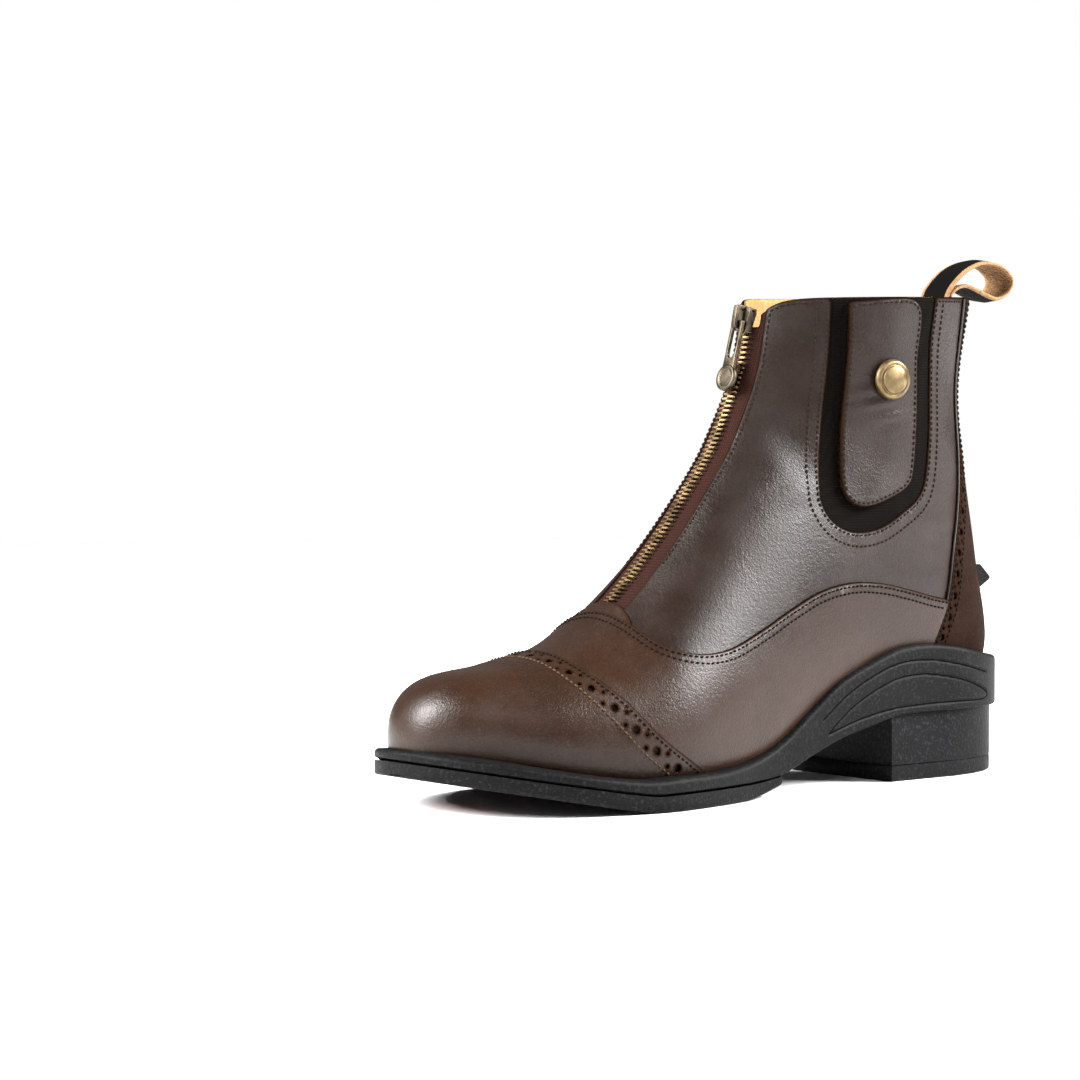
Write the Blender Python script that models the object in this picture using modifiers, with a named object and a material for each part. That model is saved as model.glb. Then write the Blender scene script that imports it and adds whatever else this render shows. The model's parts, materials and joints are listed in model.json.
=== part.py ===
"""Left paddock boot: hollow leather upper with a front zip, on a moulded sole.

Metres. X points to the outer side of the foot, Y from toe to heel, Z up.
The origin is the middle of the heel's bottom face, on the floor.
"Along" is the distance forward from the back of the heel.
"""
import math
from collections import namedtuple

import bmesh
import bpy
import numpy as np
from mathutils import Matrix, Vector
from mathutils.bvhtree import BVHTree

# Driving sizes of the last and the sole
SOLE_LENGTH = 0.278
BALL_WIDTH = 0.091
INSTEP_HEIGHT = 0.115
SHAFT_RISE = 0.075
HEEL_SEAT = 0.0305
CUP_HEIGHT = 0.0526
TOE_SPRING = 0.0131
TOE_SHIFT = 0.0045
HEEL_FLARE = 0.002
REAR_TUCK = 0.0042

# Leather, elastic and the clearance between pieces
WALL = 0.0022
OVERLAY = 0.0012
TAB_THICK = 0.0016
INSOLE_THICK = 0.003
GAP = 0.0003

# Heel and tread
HEEL_INSET = 0.0022
HEEL_LIFT = 0.0061
HEEL_REACH = 0.0728
EDGE_ROUND = 0.0011
BORDER_WIDTH = 0.0105
PAD_GROOVE = 0.0024
TREAD_DEPTH = 0.0026
CHEVRON_WIDTH = 0.0052
CHEVRON_COUNT = 5
CHEVRON_LEAD = 0.9
CHEVRON_REACH = 0.6
CHEVRON_FLAT = 0.2
INSERT_STEP = 0.0010
SCALLOP_DEPTH = 0.0085
SCALLOP_WAVES = 1.6
SCALLOP_REACH = 0.94
HEEL_SLOT_WIDTH = 0.0060
HEEL_SLOT_LENGTH = 0.036
HEEL_SLOT_BACK = 0.0150
SIDE_GROOVE = 0.0008
SIDE_GROOVE_WIDTH = 0.0011

# Zip
THROAT_HALF = 0.0100
THROAT_DEPTH = 0.012
TAPE_SINK = 0.0007
TAPE_THICK = 0.0012
TEETH_WIDTH = 0.0060
TEETH_THICK = 0.0018
TEETH_TAPER = 0.8
SLIDER_WIDTH = 0.0088
SLIDER_LENGTH = 0.0100
SLIDER_THICK = 0.0034
BRIDGE_WIDTH = 0.0024
BRIDGE_LENGTH = 0.0094
BRIDGE_INSIDE = 0.0062
BRIDGE_WINDOW = 0.0024
BRIDGE_THICK = 0.0015
PULL_THICK = 0.0014
PULL_WIDTH = 0.0066
PULL_SLOT = 0.0037
PULL_SLOT_LENGTH = 0.0135
PULL_DISC_RADIUS = 0.0052
PULL_LENGTH = 0.0280

# Snap button, pull loop and spur rest
BUTTON_RADIUS = 0.0078
BUTTON_DOME = 0.0034
DOME_SHARE = 0.9
BUTTON_RIM = 0.0013
WEB_WIDTH = 0.0160
WEB_THICK = 0.0014
LOOP_RISE = 0.0155
LOOP_REACH = 0.0360
LOOP_TAIL = 0.0150
SPUR_WIDTH = 0.0240
SPUR_PROUD = 0.0052
SPUR_HEIGHT = 0.0060

# How far a cutter reaches past what it cuts
OVERSHOOT = 0.013

# Mesh density
ROUND = 24
FINE_SECTIONS = 8
TOE_RINGS = 4
OUTLINE_STEPS = 24
EDGE_STEPS = 16
SEAM_STEPS = 24
LEAF_STEPS = 30
ZIP_STEPS = 10
LOOP_STEPS = 30
BUTTON_STEPS = 18
DOME_STEPS = 5
SCALLOP_STEPS = 17
DISC_STEPS = 17
SLOT_STEPS = 7
FINE_STEPS = 60

# Sizes that follow
COLLAR_HEIGHT = INSTEP_HEIGHT + SHAFT_RISE
BACK_HEIGHT = COLLAR_HEIGHT - HEEL_SEAT
HEEL_BACK = HEEL_INSET - HEEL_FLARE
ORIGIN_ALONG = (HEEL_BACK + HEEL_REACH) / 2
SEAT_SINK = 1.2 * INSOLE_THICK
TOE_POLE = (-1.1 * TOE_SHIFT, 0.978 * SOLE_LENGTH, 0.207 * INSTEP_HEIGHT)
CHEVRON_PITCH = 0.0763 * SOLE_LENGTH
CHEVRON_SWEEP = 0.121 * BALL_WIDTH
TOE_PLAN_ROUND = 2.37
TOE_SIDE_ROUND = 2.53
CUTTER_HALF = BALL_WIDTH

# Sections of the upper, toe to collar. Each lies in a plane through a front
# point and a back point. Columns: front place and back place as shares of
# SOLE_LENGTH; front height as a share of INSTEP_HEIGHT plus one of SHAFT_RISE;
# back height above the seat as a share of BACK_HEIGHT; outer and inner half
# width and sideways shift as shares of BALL_WIDTH; where the section is widest;
# roundness of its front half and of its back half.
Section = namedtuple("Section", "front instep shaft back rise outer inner shift widest crown base")
SECTIONS = [
    Section(0.899, 0.414, 0.00, 0.903, 0.00, 0.316, 0.328, -0.044, 0.60, 2.27, 4.0),
    Section(0.835, 0.437, 0.00, 0.838, 0.00, 0.409, 0.409, -0.022, 0.66, 2.17, 4.2),
    Section(0.737, 0.501, 0.00, 0.745, 0.00, 0.486, 0.464, 0.000, 0.70, 2.08, 4.6),
    Section(0.662, 0.635, 0.00, 0.669, 0.00, 0.508, 0.447, 0.011, 0.72, 2.00, 4.8),
    Section(0.586, 0.823, 0.00, 0.590, 0.00, 0.480, 0.395, 0.016, 0.72, 1.90, 4.8),
    Section(0.527, 1.000, 0.00, 0.496, 0.00, 0.437, 0.360, 0.016, 0.68, 1.87, 4.2),
    Section(0.488, 1.000, 0.19, 0.378, 0.00, 0.399, 0.351, 0.011, 0.60, 1.88, 3.4),
    Section(0.469, 1.000, 0.31, 0.237, 0.00, 0.378, 0.351, 0.005, 0.52, 1.88, 2.9),
    Section(0.455, 1.000, 0.42, 0.087, 0.00, 0.370, 0.352, 0.000, 0.48, 1.85, 2.6),
    Section(0.443, 1.000, 0.52, 0.009, 0.10, 0.363, 0.350, 0.000, 0.46, 1.84, 2.3),
    Section(0.433, 1.000, 0.62, 0.024, 0.32, 0.350, 0.347, 0.000, 0.48, 1.82, 2.2),
    Section(0.426, 1.000, 0.72, 0.050, 0.56, 0.353, 0.353, 0.000, 0.48, 1.74, 2.2),
    Section(0.419, 1.000, 0.84, 0.066, 0.77, 0.361, 0.365, 0.000, 0.48, 1.68, 2.2),
    Section(0.410, 1.000, 1.00, 0.045, 1.00, 0.376, 0.378, 0.000, 0.48, 1.64, 2.2),
    Section(0.402, 1.000, 1.18, 0.030, 1.12, 0.384, 0.386, 0.000, 0.48, 1.62, 2.2),
]

# The sole from heel to toe: place as a share of SOLE_LENGTH, outer and inner
# half width as shares of BALL_WIDTH, underside and floor thickness as shares of
# HEEL_SEAT, and height of the lip round the upper as a share of CUP_HEIGHT.
SoleRow = namedtuple("SoleRow", "at outer inner under floor lip")
SOLE_ROWS = [
    SoleRow(0.000, 0.396, 0.386, 0.862, 0.138, 0.85),
    SoleRow(0.090, 0.400, 0.390, 0.862, 0.138, 0.92),
    SoleRow(0.140, 0.402, 0.390, 0.862, 0.138, 0.97),
    SoleRow(0.200, 0.402, 0.390, 0.862, 0.138, 1.00),
    SoleRow(0.250, 0.405, 0.390, 0.850, 0.140, 0.98),
    SoleRow(0.305, 0.412, 0.392, 0.748, 0.150, 0.89),
    SoleRow(0.367, 0.424, 0.394, 0.616, 0.150, 0.76),
    SoleRow(0.424, 0.444, 0.400, 0.446, 0.145, 0.57),
    SoleRow(0.482, 0.474, 0.412, 0.269, 0.130, 0.38),
    SoleRow(0.540, 0.518, 0.436, 0.213, 0.100, 0.275),
    SoleRow(0.600, 0.577, 0.478, 0.210, 0.080, 0.235),
    SoleRow(0.710, 0.643, 0.557, 0.210, 0.078, 0.226),
    SoleRow(0.800, 0.652, 0.568, 0.200, 0.075, 0.198),
    SoleRow(0.900, 0.652, 0.568, 0.190, 0.070, 0.182),
    SoleRow(1.000, 0.652, 0.568, 0.185, 0.070, 0.183),
]
HEEL_ROUND_SHARE = 0.165
TOE_ROUND_START = 0.70
OUTLINE_ROUND = 2.2
SPRING_START = 0.735
SPRING_EASE = 0.08
TUCK_CURVE = 1.5
FLAT_START = 0.568
PLATE_START = 0.489

# Panel edges in the side view: place as a share of SOLE_LENGTH, height as a
# share of the size named at each one.
VAMP_SEAM = [  # INSTEP_HEIGHT
    (0.672, 0.86), (0.675, 0.70), (0.680, 0.61), (0.679, 0.55), (0.666, 0.50), (0.626, 0.476),
    (0.576, 0.487), (0.518, 0.537), (0.459, 0.600), (0.399, 0.655), (0.340, 0.678),
    (0.282, 0.671), (0.223, 0.643), (0.168, 0.613), (0.080, 0.58)]
CAP_EDGE = [  # INSTEP_HEIGHT
    (0.777, 0.60), (0.776, 0.46), (0.764, 0.398), (0.741, 0.328), (0.709, 0.235),
    (0.662, 0.150), (0.615, 0.090), (0.580, 0.040)]
BACKSTRIP_EDGE = [  # COLLAR_HEIGHT
    (0.100, 1.06), (0.096, 0.88), (0.097, 0.74), (0.106, 0.61), (0.120, 0.52), (0.135, 0.45),
    (0.149, 0.36), (0.164, 0.31), (0.176, 0.27), (0.186, 0.20)]
COLLAR_LINE = [  # COLLAR_HEIGHT
    (-0.10, 0.984), (0.05, 0.986), (0.18, 0.985), (0.29, 0.984), (0.35, 0.978),
    (0.380, 0.969), (0.398, 0.953), (0.415, 0.925), (0.45, 0.86), (0.50, 0.75)]
GORE_EDGE = [  # COLLAR_HEIGHT
    (0.338, 1.06), (0.346, 0.88), (0.354, 0.776), (0.367, 0.676), (0.376, 0.597), (0.375, 0.561),
    (0.361, 0.532), (0.334, 0.514), (0.302, 0.512), (0.270, 0.523), (0.236, 0.548),
    (0.205, 0.575), (0.189, 0.612), (0.181, 0.693), (0.180, 0.775), (0.182, 0.88), (0.188, 1.06)]
TAB_EDGE = [  # COLLAR_HEIGHT
    (0.321, 0.975), (0.324, 0.877), (0.330, 0.776), (0.340, 0.676), (0.344, 0.616),
    (0.341, 0.586), (0.328, 0.565), (0.303, 0.559), (0.269, 0.572), (0.231, 0.597),
    (0.217, 0.633), (0.212, 0.735), (0.213, 0.857), (0.216, 0.975)]
LEAF_EDGE = [  # CUP_HEIGHT
    (0.392, 0.40), (0.372, 0.48), (0.345, 0.575), (0.315, 0.655), (0.283, 0.722), (0.248, 0.770),
    (0.198, 0.780), (0.137, 0.728), (0.088, 0.650), (0.072, 0.600), (0.080, 0.560),
    (0.144, 0.562), (0.248, 0.552), (0.324, 0.494)]
ARC_LINE = [  # CUP_HEIGHT
    (0.403, 0.505), (0.353, 0.675), (0.302, 0.797), (0.255, 0.872), (0.198, 0.886),
    (0.137, 0.837), (0.074, 0.760)]
# Pull loop from the collar round and back: LOOP_REACH back from the collar,
# LOOP_RISE above it
LOOP_ROUTE = [
    (0.00, 0.00), (0.07, 0.28), (0.26, 0.66), (0.45, 0.87), (0.62, 0.94), (0.82, 0.86),
    (0.96, 0.66), (1.00, 0.42), (0.92, 0.16), (0.78, 0.03), (0.63, 0.10), (0.49, 0.22),
    (0.32, 0.34), (0.19, 0.30), (0.07, 0.13)]
BUTTON_PLACE = (0.264, 0.818)
SPUR_PLACE = 0.395
GORE_TOP = 0.984
LOOP_HEM = 0.985
SLIDER_PLACE = 0.938
SLIDER_SPAN = 0.2
THROAT_END = 0.684
TAPE_END = 0.683
TEETH_END = 0.664

# Colours and finishes: colour, roughness, metallic
LEATHER = ("leather", (0.075, 0.048, 0.038), 0.42, 0.0)
VAMP_LEATHER = ("vamp_leather", (0.090, 0.060, 0.048), 0.38, 0.0)
RUBBER = ("rubber", (0.030, 0.030, 0.032), 0.70, 0.0)
TREAD_RED = ("tread_red", (0.70, 0.06, 0.06), 0.55, 0.0)
ELASTIC = ("elastic", (0.012, 0.010, 0.009), 0.85, 0.0)
TAPE_CLOTH = ("tape_cloth", (0.070, 0.022, 0.018), 0.90, 0.0)
BRASS = ("antique_brass", (0.34, 0.27, 0.16), 0.35, 1.0)
WEBBING = ("webbing", (0.020, 0.018, 0.016), 0.90, 0.0)
FOOTBED = ("footbed", (0.30, 0.19, 0.11), 0.75, 0.0)


def clear_scene():
    """Remove what the scene holds."""
    for item in list(bpy.data.objects):
        bpy.data.objects.remove(item, do_unlink=True)


def make_collection(name):
    """A collection linked to the scene."""
    group = bpy.data.collections.new(name)
    bpy.context.scene.collection.children.link(group)
    return group


def make_material(spec):
    """A Principled material, shared by the parts that use the same finish."""
    name, colour, roughness, metallic = spec
    material = bpy.data.materials.get(name)
    if material is None:
        material = bpy.data.materials.new(name)
        material.use_nodes = True
        shader = material.node_tree.nodes["Principled BSDF"]
        shader.inputs["Base Color"].default_value = (*colour, 1.0)
        shader.inputs["Roughness"].default_value = roughness
        shader.inputs["Metallic"].default_value = metallic
        material.diffuse_color = (*colour, 1.0)
    return material


def spline(places, values, at):
    """Values on a smooth curve through the rows of a table."""
    places = np.asarray(places, float)
    rows = np.asarray(values, float).reshape(len(places), -1)
    at = np.clip(np.atleast_1d(np.asarray(at, float)), places[0], places[-1])
    slopes = np.gradient(rows, places, axis=0)
    low = np.clip(np.searchsorted(places, at, side="right") - 1, 0, len(places) - 2)
    step = (places[low + 1] - places[low])[:, None]
    part = (at[:, None] - places[low][:, None]) / step
    result = ((2 * part**3 - 3 * part**2 + 1) * rows[low]
              + (part**3 - 2 * part**2 + part) * step * slopes[low]
              + (3 * part**2 - 2 * part**3) * rows[low + 1]
              + (part**3 - part**2) * step * slopes[low + 1])
    return result[:, 0] if np.ndim(values) == 1 else result


def sole_column(name, at):
    """One column of the sole's table at places along the boot, as its share."""
    places = [row.at * SOLE_LENGTH for row in SOLE_ROWS]
    return spline(places, [getattr(row, name) for row in SOLE_ROWS], at)


def spring_at(along):
    """Rise of the tread's underside under the toes."""
    start = SPRING_START * SOLE_LENGTH
    share = np.clip((np.atleast_1d(along) - start) / (SOLE_LENGTH - start), 0, None)
    return TOE_SPRING * share**2 * (1 + SPRING_EASE) / (share + SPRING_EASE)


def ground_at(along):
    """Underside of the forefoot's tread: flat under the ball, rising at both ends."""
    start = FLAT_START * SOLE_LENGTH
    tuck = np.clip((start - np.atleast_1d(along)) / (start - PLATE_START * SOLE_LENGTH), 0, 1)
    return spring_at(along) + REAR_TUCK * tuck**TUCK_CURVE


def under_at(along):
    """Underside of the sole unit, on the tread plate and on the heel."""
    return HEEL_SEAT * sole_column("under", along) + spring_at(along)


def seat_at(along):
    """Top of the sole unit's floor, inside the upper."""
    return under_at(along) + HEEL_SEAT * sole_column("floor", along)


def lip_at(along):
    """Edge of the sole unit on the outside of the upper."""
    return CUP_HEIGHT * sole_column("lip", along) + spring_at(along)


def to_world(points):
    """Rows of (x, along, z) as positions in the part's frame."""
    points = np.asarray(points, float).reshape(-1, 3)
    return [Vector((x, ORIGIN_ALONG - along, z)) for x, along, z in points]


def link(item, group, material=None):
    """Put an object in a collection and give it its material."""
    group.objects.link(item)
    if material:
        item.data.materials.clear()
        item.data.materials.append(make_material(material))
    return item


def smooth_shade(mesh, degrees=40):
    """Smooth shading with sharp edges above an angle."""
    mesh.shade_smooth()
    mesh.set_sharp_from_angle(angle=math.radians(degrees))


def loft_mesh(name, rings, start_point=None):
    """Closed mesh through rings of points; the start may run to one point."""
    work = bmesh.new()
    loops = [[work.verts.new(place) for place in to_world(ring)] for ring in rings]
    for first, second in zip(loops, loops[1:]):
        count = len(first)
        for i in range(count):
            after = (i + 1) % count
            work.faces.new((first[i], first[after], second[after]))
            work.faces.new((first[i], second[after], second[i]))
    if start_point is None:
        work.faces.new(loops[0])
    else:
        pole = work.verts.new(to_world([start_point])[0])
        for i, vert in enumerate(loops[0]):
            work.faces.new((vert, loops[0][(i + 1) % len(loops[0])], pole))
    work.faces.new(loops[-1])
    bmesh.ops.recalc_face_normals(work, faces=work.faces)
    mesh = bpy.data.meshes.new(name)
    work.to_mesh(mesh)
    work.free()
    return mesh


def section_values():
    """The upper's sections as lengths, a row for each."""
    rows = []
    for row in SECTIONS:
        back = row.back * SOLE_LENGTH
        low = seat_at(back)[0] - SEAT_SINK + row.rise * BACK_HEIGHT
        rows.append((
            row.front * SOLE_LENGTH, row.instep * INSTEP_HEIGHT + row.shaft * SHAFT_RISE,
            back, low, row.outer * BALL_WIDTH, row.inner * BALL_WIDTH,
            row.shift * BALL_WIDTH, row.widest, row.crown, row.base))
    return np.array(rows)


def section_ring(values, angles):
    """Points of one section: angle 0 is its front point, pi its back point."""
    front, high, back, low, outer, inner, shift, widest, crown, base = values
    cosine = np.cos(angles)
    sine = np.sin(angles)
    power = 2 / np.where(cosine >= 0, crown, base)
    depth = np.abs(cosine)**power
    down = np.where(cosine >= 0, widest * (1 - depth), widest + (1 - widest) * depth)
    side = np.where(sine >= 0, outer, inner)
    x = shift + np.sign(sine) * side * np.abs(sine)**power
    return np.stack([x, front + (back - front) * down, high + (low - high) * down], axis=-1)


def form_rings(offset=0.0):
    """The upper's form from toe to above the collar, moved out by an offset."""
    table = section_values()
    angles = np.linspace(0, 2 * math.pi, ROUND, endpoint=False)
    marks = np.concatenate([np.arange(0, FINE_SECTIONS - 1, 0.5),
                            np.arange(FINE_SECTIONS - 1, len(table))])
    rows = spline(np.arange(len(table)), table, marks)
    first = rows[0]
    slope = (rows[1] - rows[0]) / (rows[1][0] - rows[0][0])
    pole = np.array(TOE_POLE)
    rings = []
    for step in range(TOE_RINGS, 0, -1):
        share = math.sin(math.pi / 2 * step / (TOE_RINGS + 1))
        reach = (pole[1] - first[0]) * share
        plan = (1 - share**TOE_PLAN_ROUND)**(1 / TOE_PLAN_ROUND)
        side = (1 - share**TOE_SIDE_ROUND)**(1 / TOE_SIDE_ROUND)
        grown = first + slope * reach
        centre = grown[6] + (pole[0] - grown[6]) * share
        values = (first[0] + reach, pole[2] + (grown[1] - pole[2]) * side,
                  first[0] + reach, pole[2] + (grown[3] - pole[2]) * side,
                  grown[4] * plan, grown[5] * plan, centre, *first[7:])
        rings.append(section_ring(values, angles))
    rings += [section_ring(row, angles) for row in rows]
    rings = np.array(rings)
    padded = np.concatenate([np.tile(pole, (1, ROUND, 1)), rings, rings[-1:]])
    run = padded[2:] - padded[:-2]
    turn = np.roll(rings, -1, axis=1) - np.roll(rings, 1, axis=1)
    normals = np.cross(run, turn)
    normals /= np.linalg.norm(normals, axis=2, keepdims=True)
    centres = rings.mean(axis=1, keepdims=True)
    if ((rings - centres) * normals).sum() < 0:
        normals = -normals
    return rings + offset * normals, pole + np.array((0, offset, 0))


def form_mesh(name, offset=0.0, lift=0.0):
    """The form as a closed mesh; lift raises its flat top."""
    rings, pole = form_rings(offset)
    rings[-1, :, 2] += lift
    mesh = loft_mesh(name, rings, pole)
    smooth_shade(mesh)
    return mesh


def front_line(marks):
    """Front points of the form and their outward directions in the side view."""
    table = section_values()
    rows = spline(np.arange(len(table)), table, marks)
    points = rows[:, [0, 1]]
    tangent = np.gradient(points, axis=0)
    tangent /= np.linalg.norm(tangent, axis=1)[:, None]
    outward = np.stack([tangent[:, 1], -tangent[:, 0]], axis=-1)
    return points, outward, rows[:, 6]


def front_mark(share, column):
    """The section number where the front line meets a place or a height."""
    marks = np.linspace(0, len(SECTIONS) - 1, 5 * FINE_STEPS)
    points = front_line(marks)[0]
    if column == "along":
        return float(np.interp(-share * SOLE_LENGTH, -points[:, 0], marks))
    return float(np.interp(share * COLLAR_HEIGHT, points[:, 1], marks))


def flat_mesh(name, outlines, half_depth, axes):
    """A flat outline with thickness; axes are the directions of its two columns."""
    data = bpy.data.curves.new(name, "CURVE")
    data.dimensions = "2D"
    data.fill_mode = "BOTH"
    data.extrude = half_depth
    for outline in outlines:
        line = data.splines.new("POLY")
        line.points.add(len(outline) - 1)
        for point, (u, v) in zip(line.points, outline):
            point.co = (u, v, 0, 1)
        line.use_cyclic_u = True
    guide = bpy.data.objects.new(name, data)
    bpy.context.scene.collection.objects.link(guide)
    graph = bpy.context.evaluated_depsgraph_get()
    mesh = bpy.data.meshes.new_from_object(guide.evaluated_get(graph))
    bpy.data.objects.remove(guide, do_unlink=True)
    across, up = Vector(axes[0]), Vector(axes[1])
    out = across.cross(up)
    turn = Matrix((across, up, out)).transposed().to_4x4()
    work = bmesh.new()
    work.from_mesh(mesh)
    bmesh.ops.remove_doubles(work, verts=work.verts, dist=1e-6)
    bmesh.ops.transform(work, matrix=turn, verts=work.verts)
    bmesh.ops.recalc_face_normals(work, faces=work.faces)
    work.to_mesh(mesh)
    work.free()
    mesh.name = name
    return mesh


def side_mesh(name, outline, low_x=-CUTTER_HALF, high_x=CUTTER_HALF):
    """A side-view outline of (along, z) that runs from low_x to high_x."""
    outline = [(along - ORIGIN_ALONG, z) for along, z in outline]
    mesh = flat_mesh(name, [outline], (high_x - low_x) / 2, ((0, -1, 0), (0, 0, 1)))
    mesh.transform(Matrix.Translation(((low_x + high_x) / 2, 0, 0)))
    return mesh


def plan_mesh(name, outline, low_z, high_z):
    """A plan outline of (x, along) that runs from low_z to high_z."""
    outline = [(x, ORIGIN_ALONG - along) for x, along in outline]
    mesh = flat_mesh(name, [outline], (high_z - low_z) / 2, ((1, 0, 0), (0, 1, 0)))
    mesh.transform(Matrix.Translation((0, 0, (low_z + high_z) / 2)))
    return mesh


def box_mesh(name, low, high):
    """A box between two corners."""
    work = bmesh.new()
    bmesh.ops.create_cube(work, size=1)
    size = [b - a for a, b in zip(low, high)]
    middle = [(a + b) / 2 for a, b in zip(low, high)]
    bmesh.ops.scale(work, vec=size, verts=work.verts)
    bmesh.ops.translate(work, vec=middle, verts=work.verts)
    mesh = bpy.data.meshes.new(name)
    work.to_mesh(mesh)
    work.free()
    return mesh


def outline_stations():
    """Places along the sole, closer together at its ends."""
    steps = np.linspace(0, math.pi, OUTLINE_STEPS + 1)
    return -HEEL_FLARE + (SOLE_LENGTH + HEEL_FLARE) * (1 - np.cos(steps)) / 2


def outline_ring(inset=0.0):
    """Closed plan outline of the sole, moved in: outer side forward, inner side back."""
    along = outline_stations()
    heel = np.clip(1 - (along + HEEL_FLARE) / (HEEL_ROUND_SHARE * SOLE_LENGTH), 0, 1)
    toe_start = TOE_ROUND_START * SOLE_LENGTH
    toe = np.clip((along - toe_start) / (SOLE_LENGTH - toe_start), 0, 1)
    heel_width = (1 - heel**OUTLINE_ROUND)**(1 / OUTLINE_ROUND)
    toe_width = (1 - toe**OUTLINE_ROUND)**(1 / OUTLINE_ROUND)
    shift = -TOE_SHIFT * toe
    outer = shift + BALL_WIDTH * sole_column("outer", along) * heel_width * toe_width
    inner = shift - BALL_WIDTH * sole_column("inner", along) * heel_width * toe_width
    ring = np.concatenate([
        np.stack([outer, along], axis=-1), np.stack([inner, along], axis=-1)[-2:0:-1]])
    run = np.roll(ring, -1, axis=0) - np.roll(ring, 1, axis=0)
    run /= np.linalg.norm(run, axis=1)[:, None]
    return ring - inset * np.stack([run[:, 1], -run[:, 0]], axis=-1)


def ladder_mesh(name, levels):
    """Closed solid through levels of the outline, each (inset, height function)."""
    work = bmesh.new()
    loops = []
    for inset, height in levels:
        ring = outline_ring(inset)
        heights = height(ring[:, 1])
        loops.append([work.verts.new(place) for place in
                      to_world(np.column_stack([ring, heights]))])
    count = len(loops[0])
    for first, second in zip(loops, loops[1:]):
        for i in range(count):
            after = (i + 1) % count
            work.faces.new((first[i], first[after], second[after], second[i]))
    for loop in (loops[0], loops[-1]):
        for i in range(count // 2):
            corners = [loop[i], loop[i + 1], loop[-i - 1], loop[-i % count]]
            work.faces.new(list(dict.fromkeys(corners)))
    bmesh.ops.recalc_face_normals(work, faces=work.faces)
    mesh = bpy.data.meshes.new(name)
    work.to_mesh(mesh)
    work.free()
    smooth_shade(mesh)
    return mesh


def level(height):
    """A height function with one value."""
    return lambda along: np.full(len(along), height)


def raised(height, extra):
    """A height function moved up by extra."""
    return lambda along: height(along) + extra


def cutter(name, mesh):
    """A hidden solid used by a Boolean."""
    item = link(bpy.data.objects.new(name, mesh), CUTTERS)
    item.hide_render = True
    item.display_type = "WIRE"
    return item


def part(name, mesh, material):
    """A visible piece of the boot."""
    return link(bpy.data.objects.new(name, mesh), BOOT, material)


def combine(target, tool, operation, solver="EXACT"):
    """Cut, keep or join with another solid."""
    step = target.modifiers.new(tool.name, "BOOLEAN")
    step.operation = operation
    step.object = tool
    step.solver = solver
    return target


def points_of(rows, height, shift=0.0):
    """A table of shares as (along, z) lengths."""
    return [(at * SOLE_LENGTH + shift, high * height) for at, high in rows]


def smooth_points(rows, height, count, shift=0.0):
    """A table of shares as a smooth line of (along, z) lengths."""
    marks = np.linspace(0, len(rows) - 1, count)
    line = spline(np.arange(len(rows)), points_of(rows, height, shift), marks)
    return [tuple(point) for point in line]


def grown(outline, distance):
    """A closed outline moved outward by a distance."""
    ring = np.asarray(outline, float)
    run = np.roll(ring, -1, axis=0) - np.roll(ring, 1, axis=0)
    run /= np.linalg.norm(run, axis=1)[:, None]
    normal = np.stack([run[:, 1], -run[:, 0]], axis=-1)
    area = (ring[:, 0] * np.roll(ring[:, 1], -1) - np.roll(ring[:, 0], -1) * ring[:, 1]).sum()
    return [tuple(point) for point in ring + distance * math.copysign(1, area) * normal]


def strip_outline(line, width):
    """A closed outline of constant width about an open line."""
    line = np.asarray(line, float)
    run = np.gradient(line, axis=0)
    run /= np.linalg.norm(run, axis=1)[:, None]
    normal = np.stack([run[:, 1], -run[:, 0]], axis=-1) * width / 2
    return [tuple(point) for point in np.concatenate([line + normal, (line - normal)[::-1]])]


def height_line(height, extra=0.0):
    """A height function as (along, z) points from behind the heel to past the toe."""
    along = outline_stations()
    line = list(zip(along, height(along) + extra))
    return [(-WEB_WIDTH, line[0][1]), *line, (SOLE_LENGTH + WEB_WIDTH, line[-1][1])]


def skin(name, inner, outer, material):
    """A piece cut between two forms of the upper."""
    item = part(name, form_mesh(name, outer), material)
    hollow = cutter(name + "_hollow", form_mesh(name + "_hollow", inner, OVERSHOOT))
    return combine(item, hollow, "DIFFERENCE")


def throat_mesh(name, end, clearance=0.0):
    """The band along the front line that the zip lies in."""
    marks = np.linspace(front_mark(end, "along"), len(SECTIONS) - 1, ZIP_STEPS)
    points, outward, _ = front_line(marks)
    outline = np.concatenate([points + outward * THROAT_DEPTH,
                              (points - outward * THROAT_DEPTH)[::-1]])
    half = THROAT_HALF - clearance
    return side_mesh(name, [tuple(point) for point in outline], -half, half)


def make_upper():
    """The hollow leather wall, open at the collar, throat, gores and underneath."""
    upper = skin("upper", -WALL, 0.0, LEATHER)
    region = height_line(seat_at, GAP) + smooth_points(COLLAR_LINE, COLLAR_HEIGHT, EDGE_STEPS)[::-1]
    shape = cutter("upper_region", side_mesh("upper_region", region))
    combine(upper, shape, "INTERSECT", "MANIFOLD")
    combine(upper, cutter("throat", throat_mesh("throat", THROAT_END)), "DIFFERENCE")
    gore = points_of(GORE_EDGE, COLLAR_HEIGHT)
    combine(upper, cutter("gore_window", side_mesh("gore_window", gore)), "DIFFERENCE")
    return upper


def make_insole():
    """The footbed that lies on the sole's floor inside the upper."""
    insole = part("insole", form_mesh("insole", -WALL - GAP), FOOTBED)
    low = height_line(seat_at, GAP)
    high = height_line(seat_at, GAP + INSOLE_THICK)
    slab = side_mesh("insole_slab", low + high[::-1])
    return combine(insole, cutter("insole_slab", slab), "INTERSECT")


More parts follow.
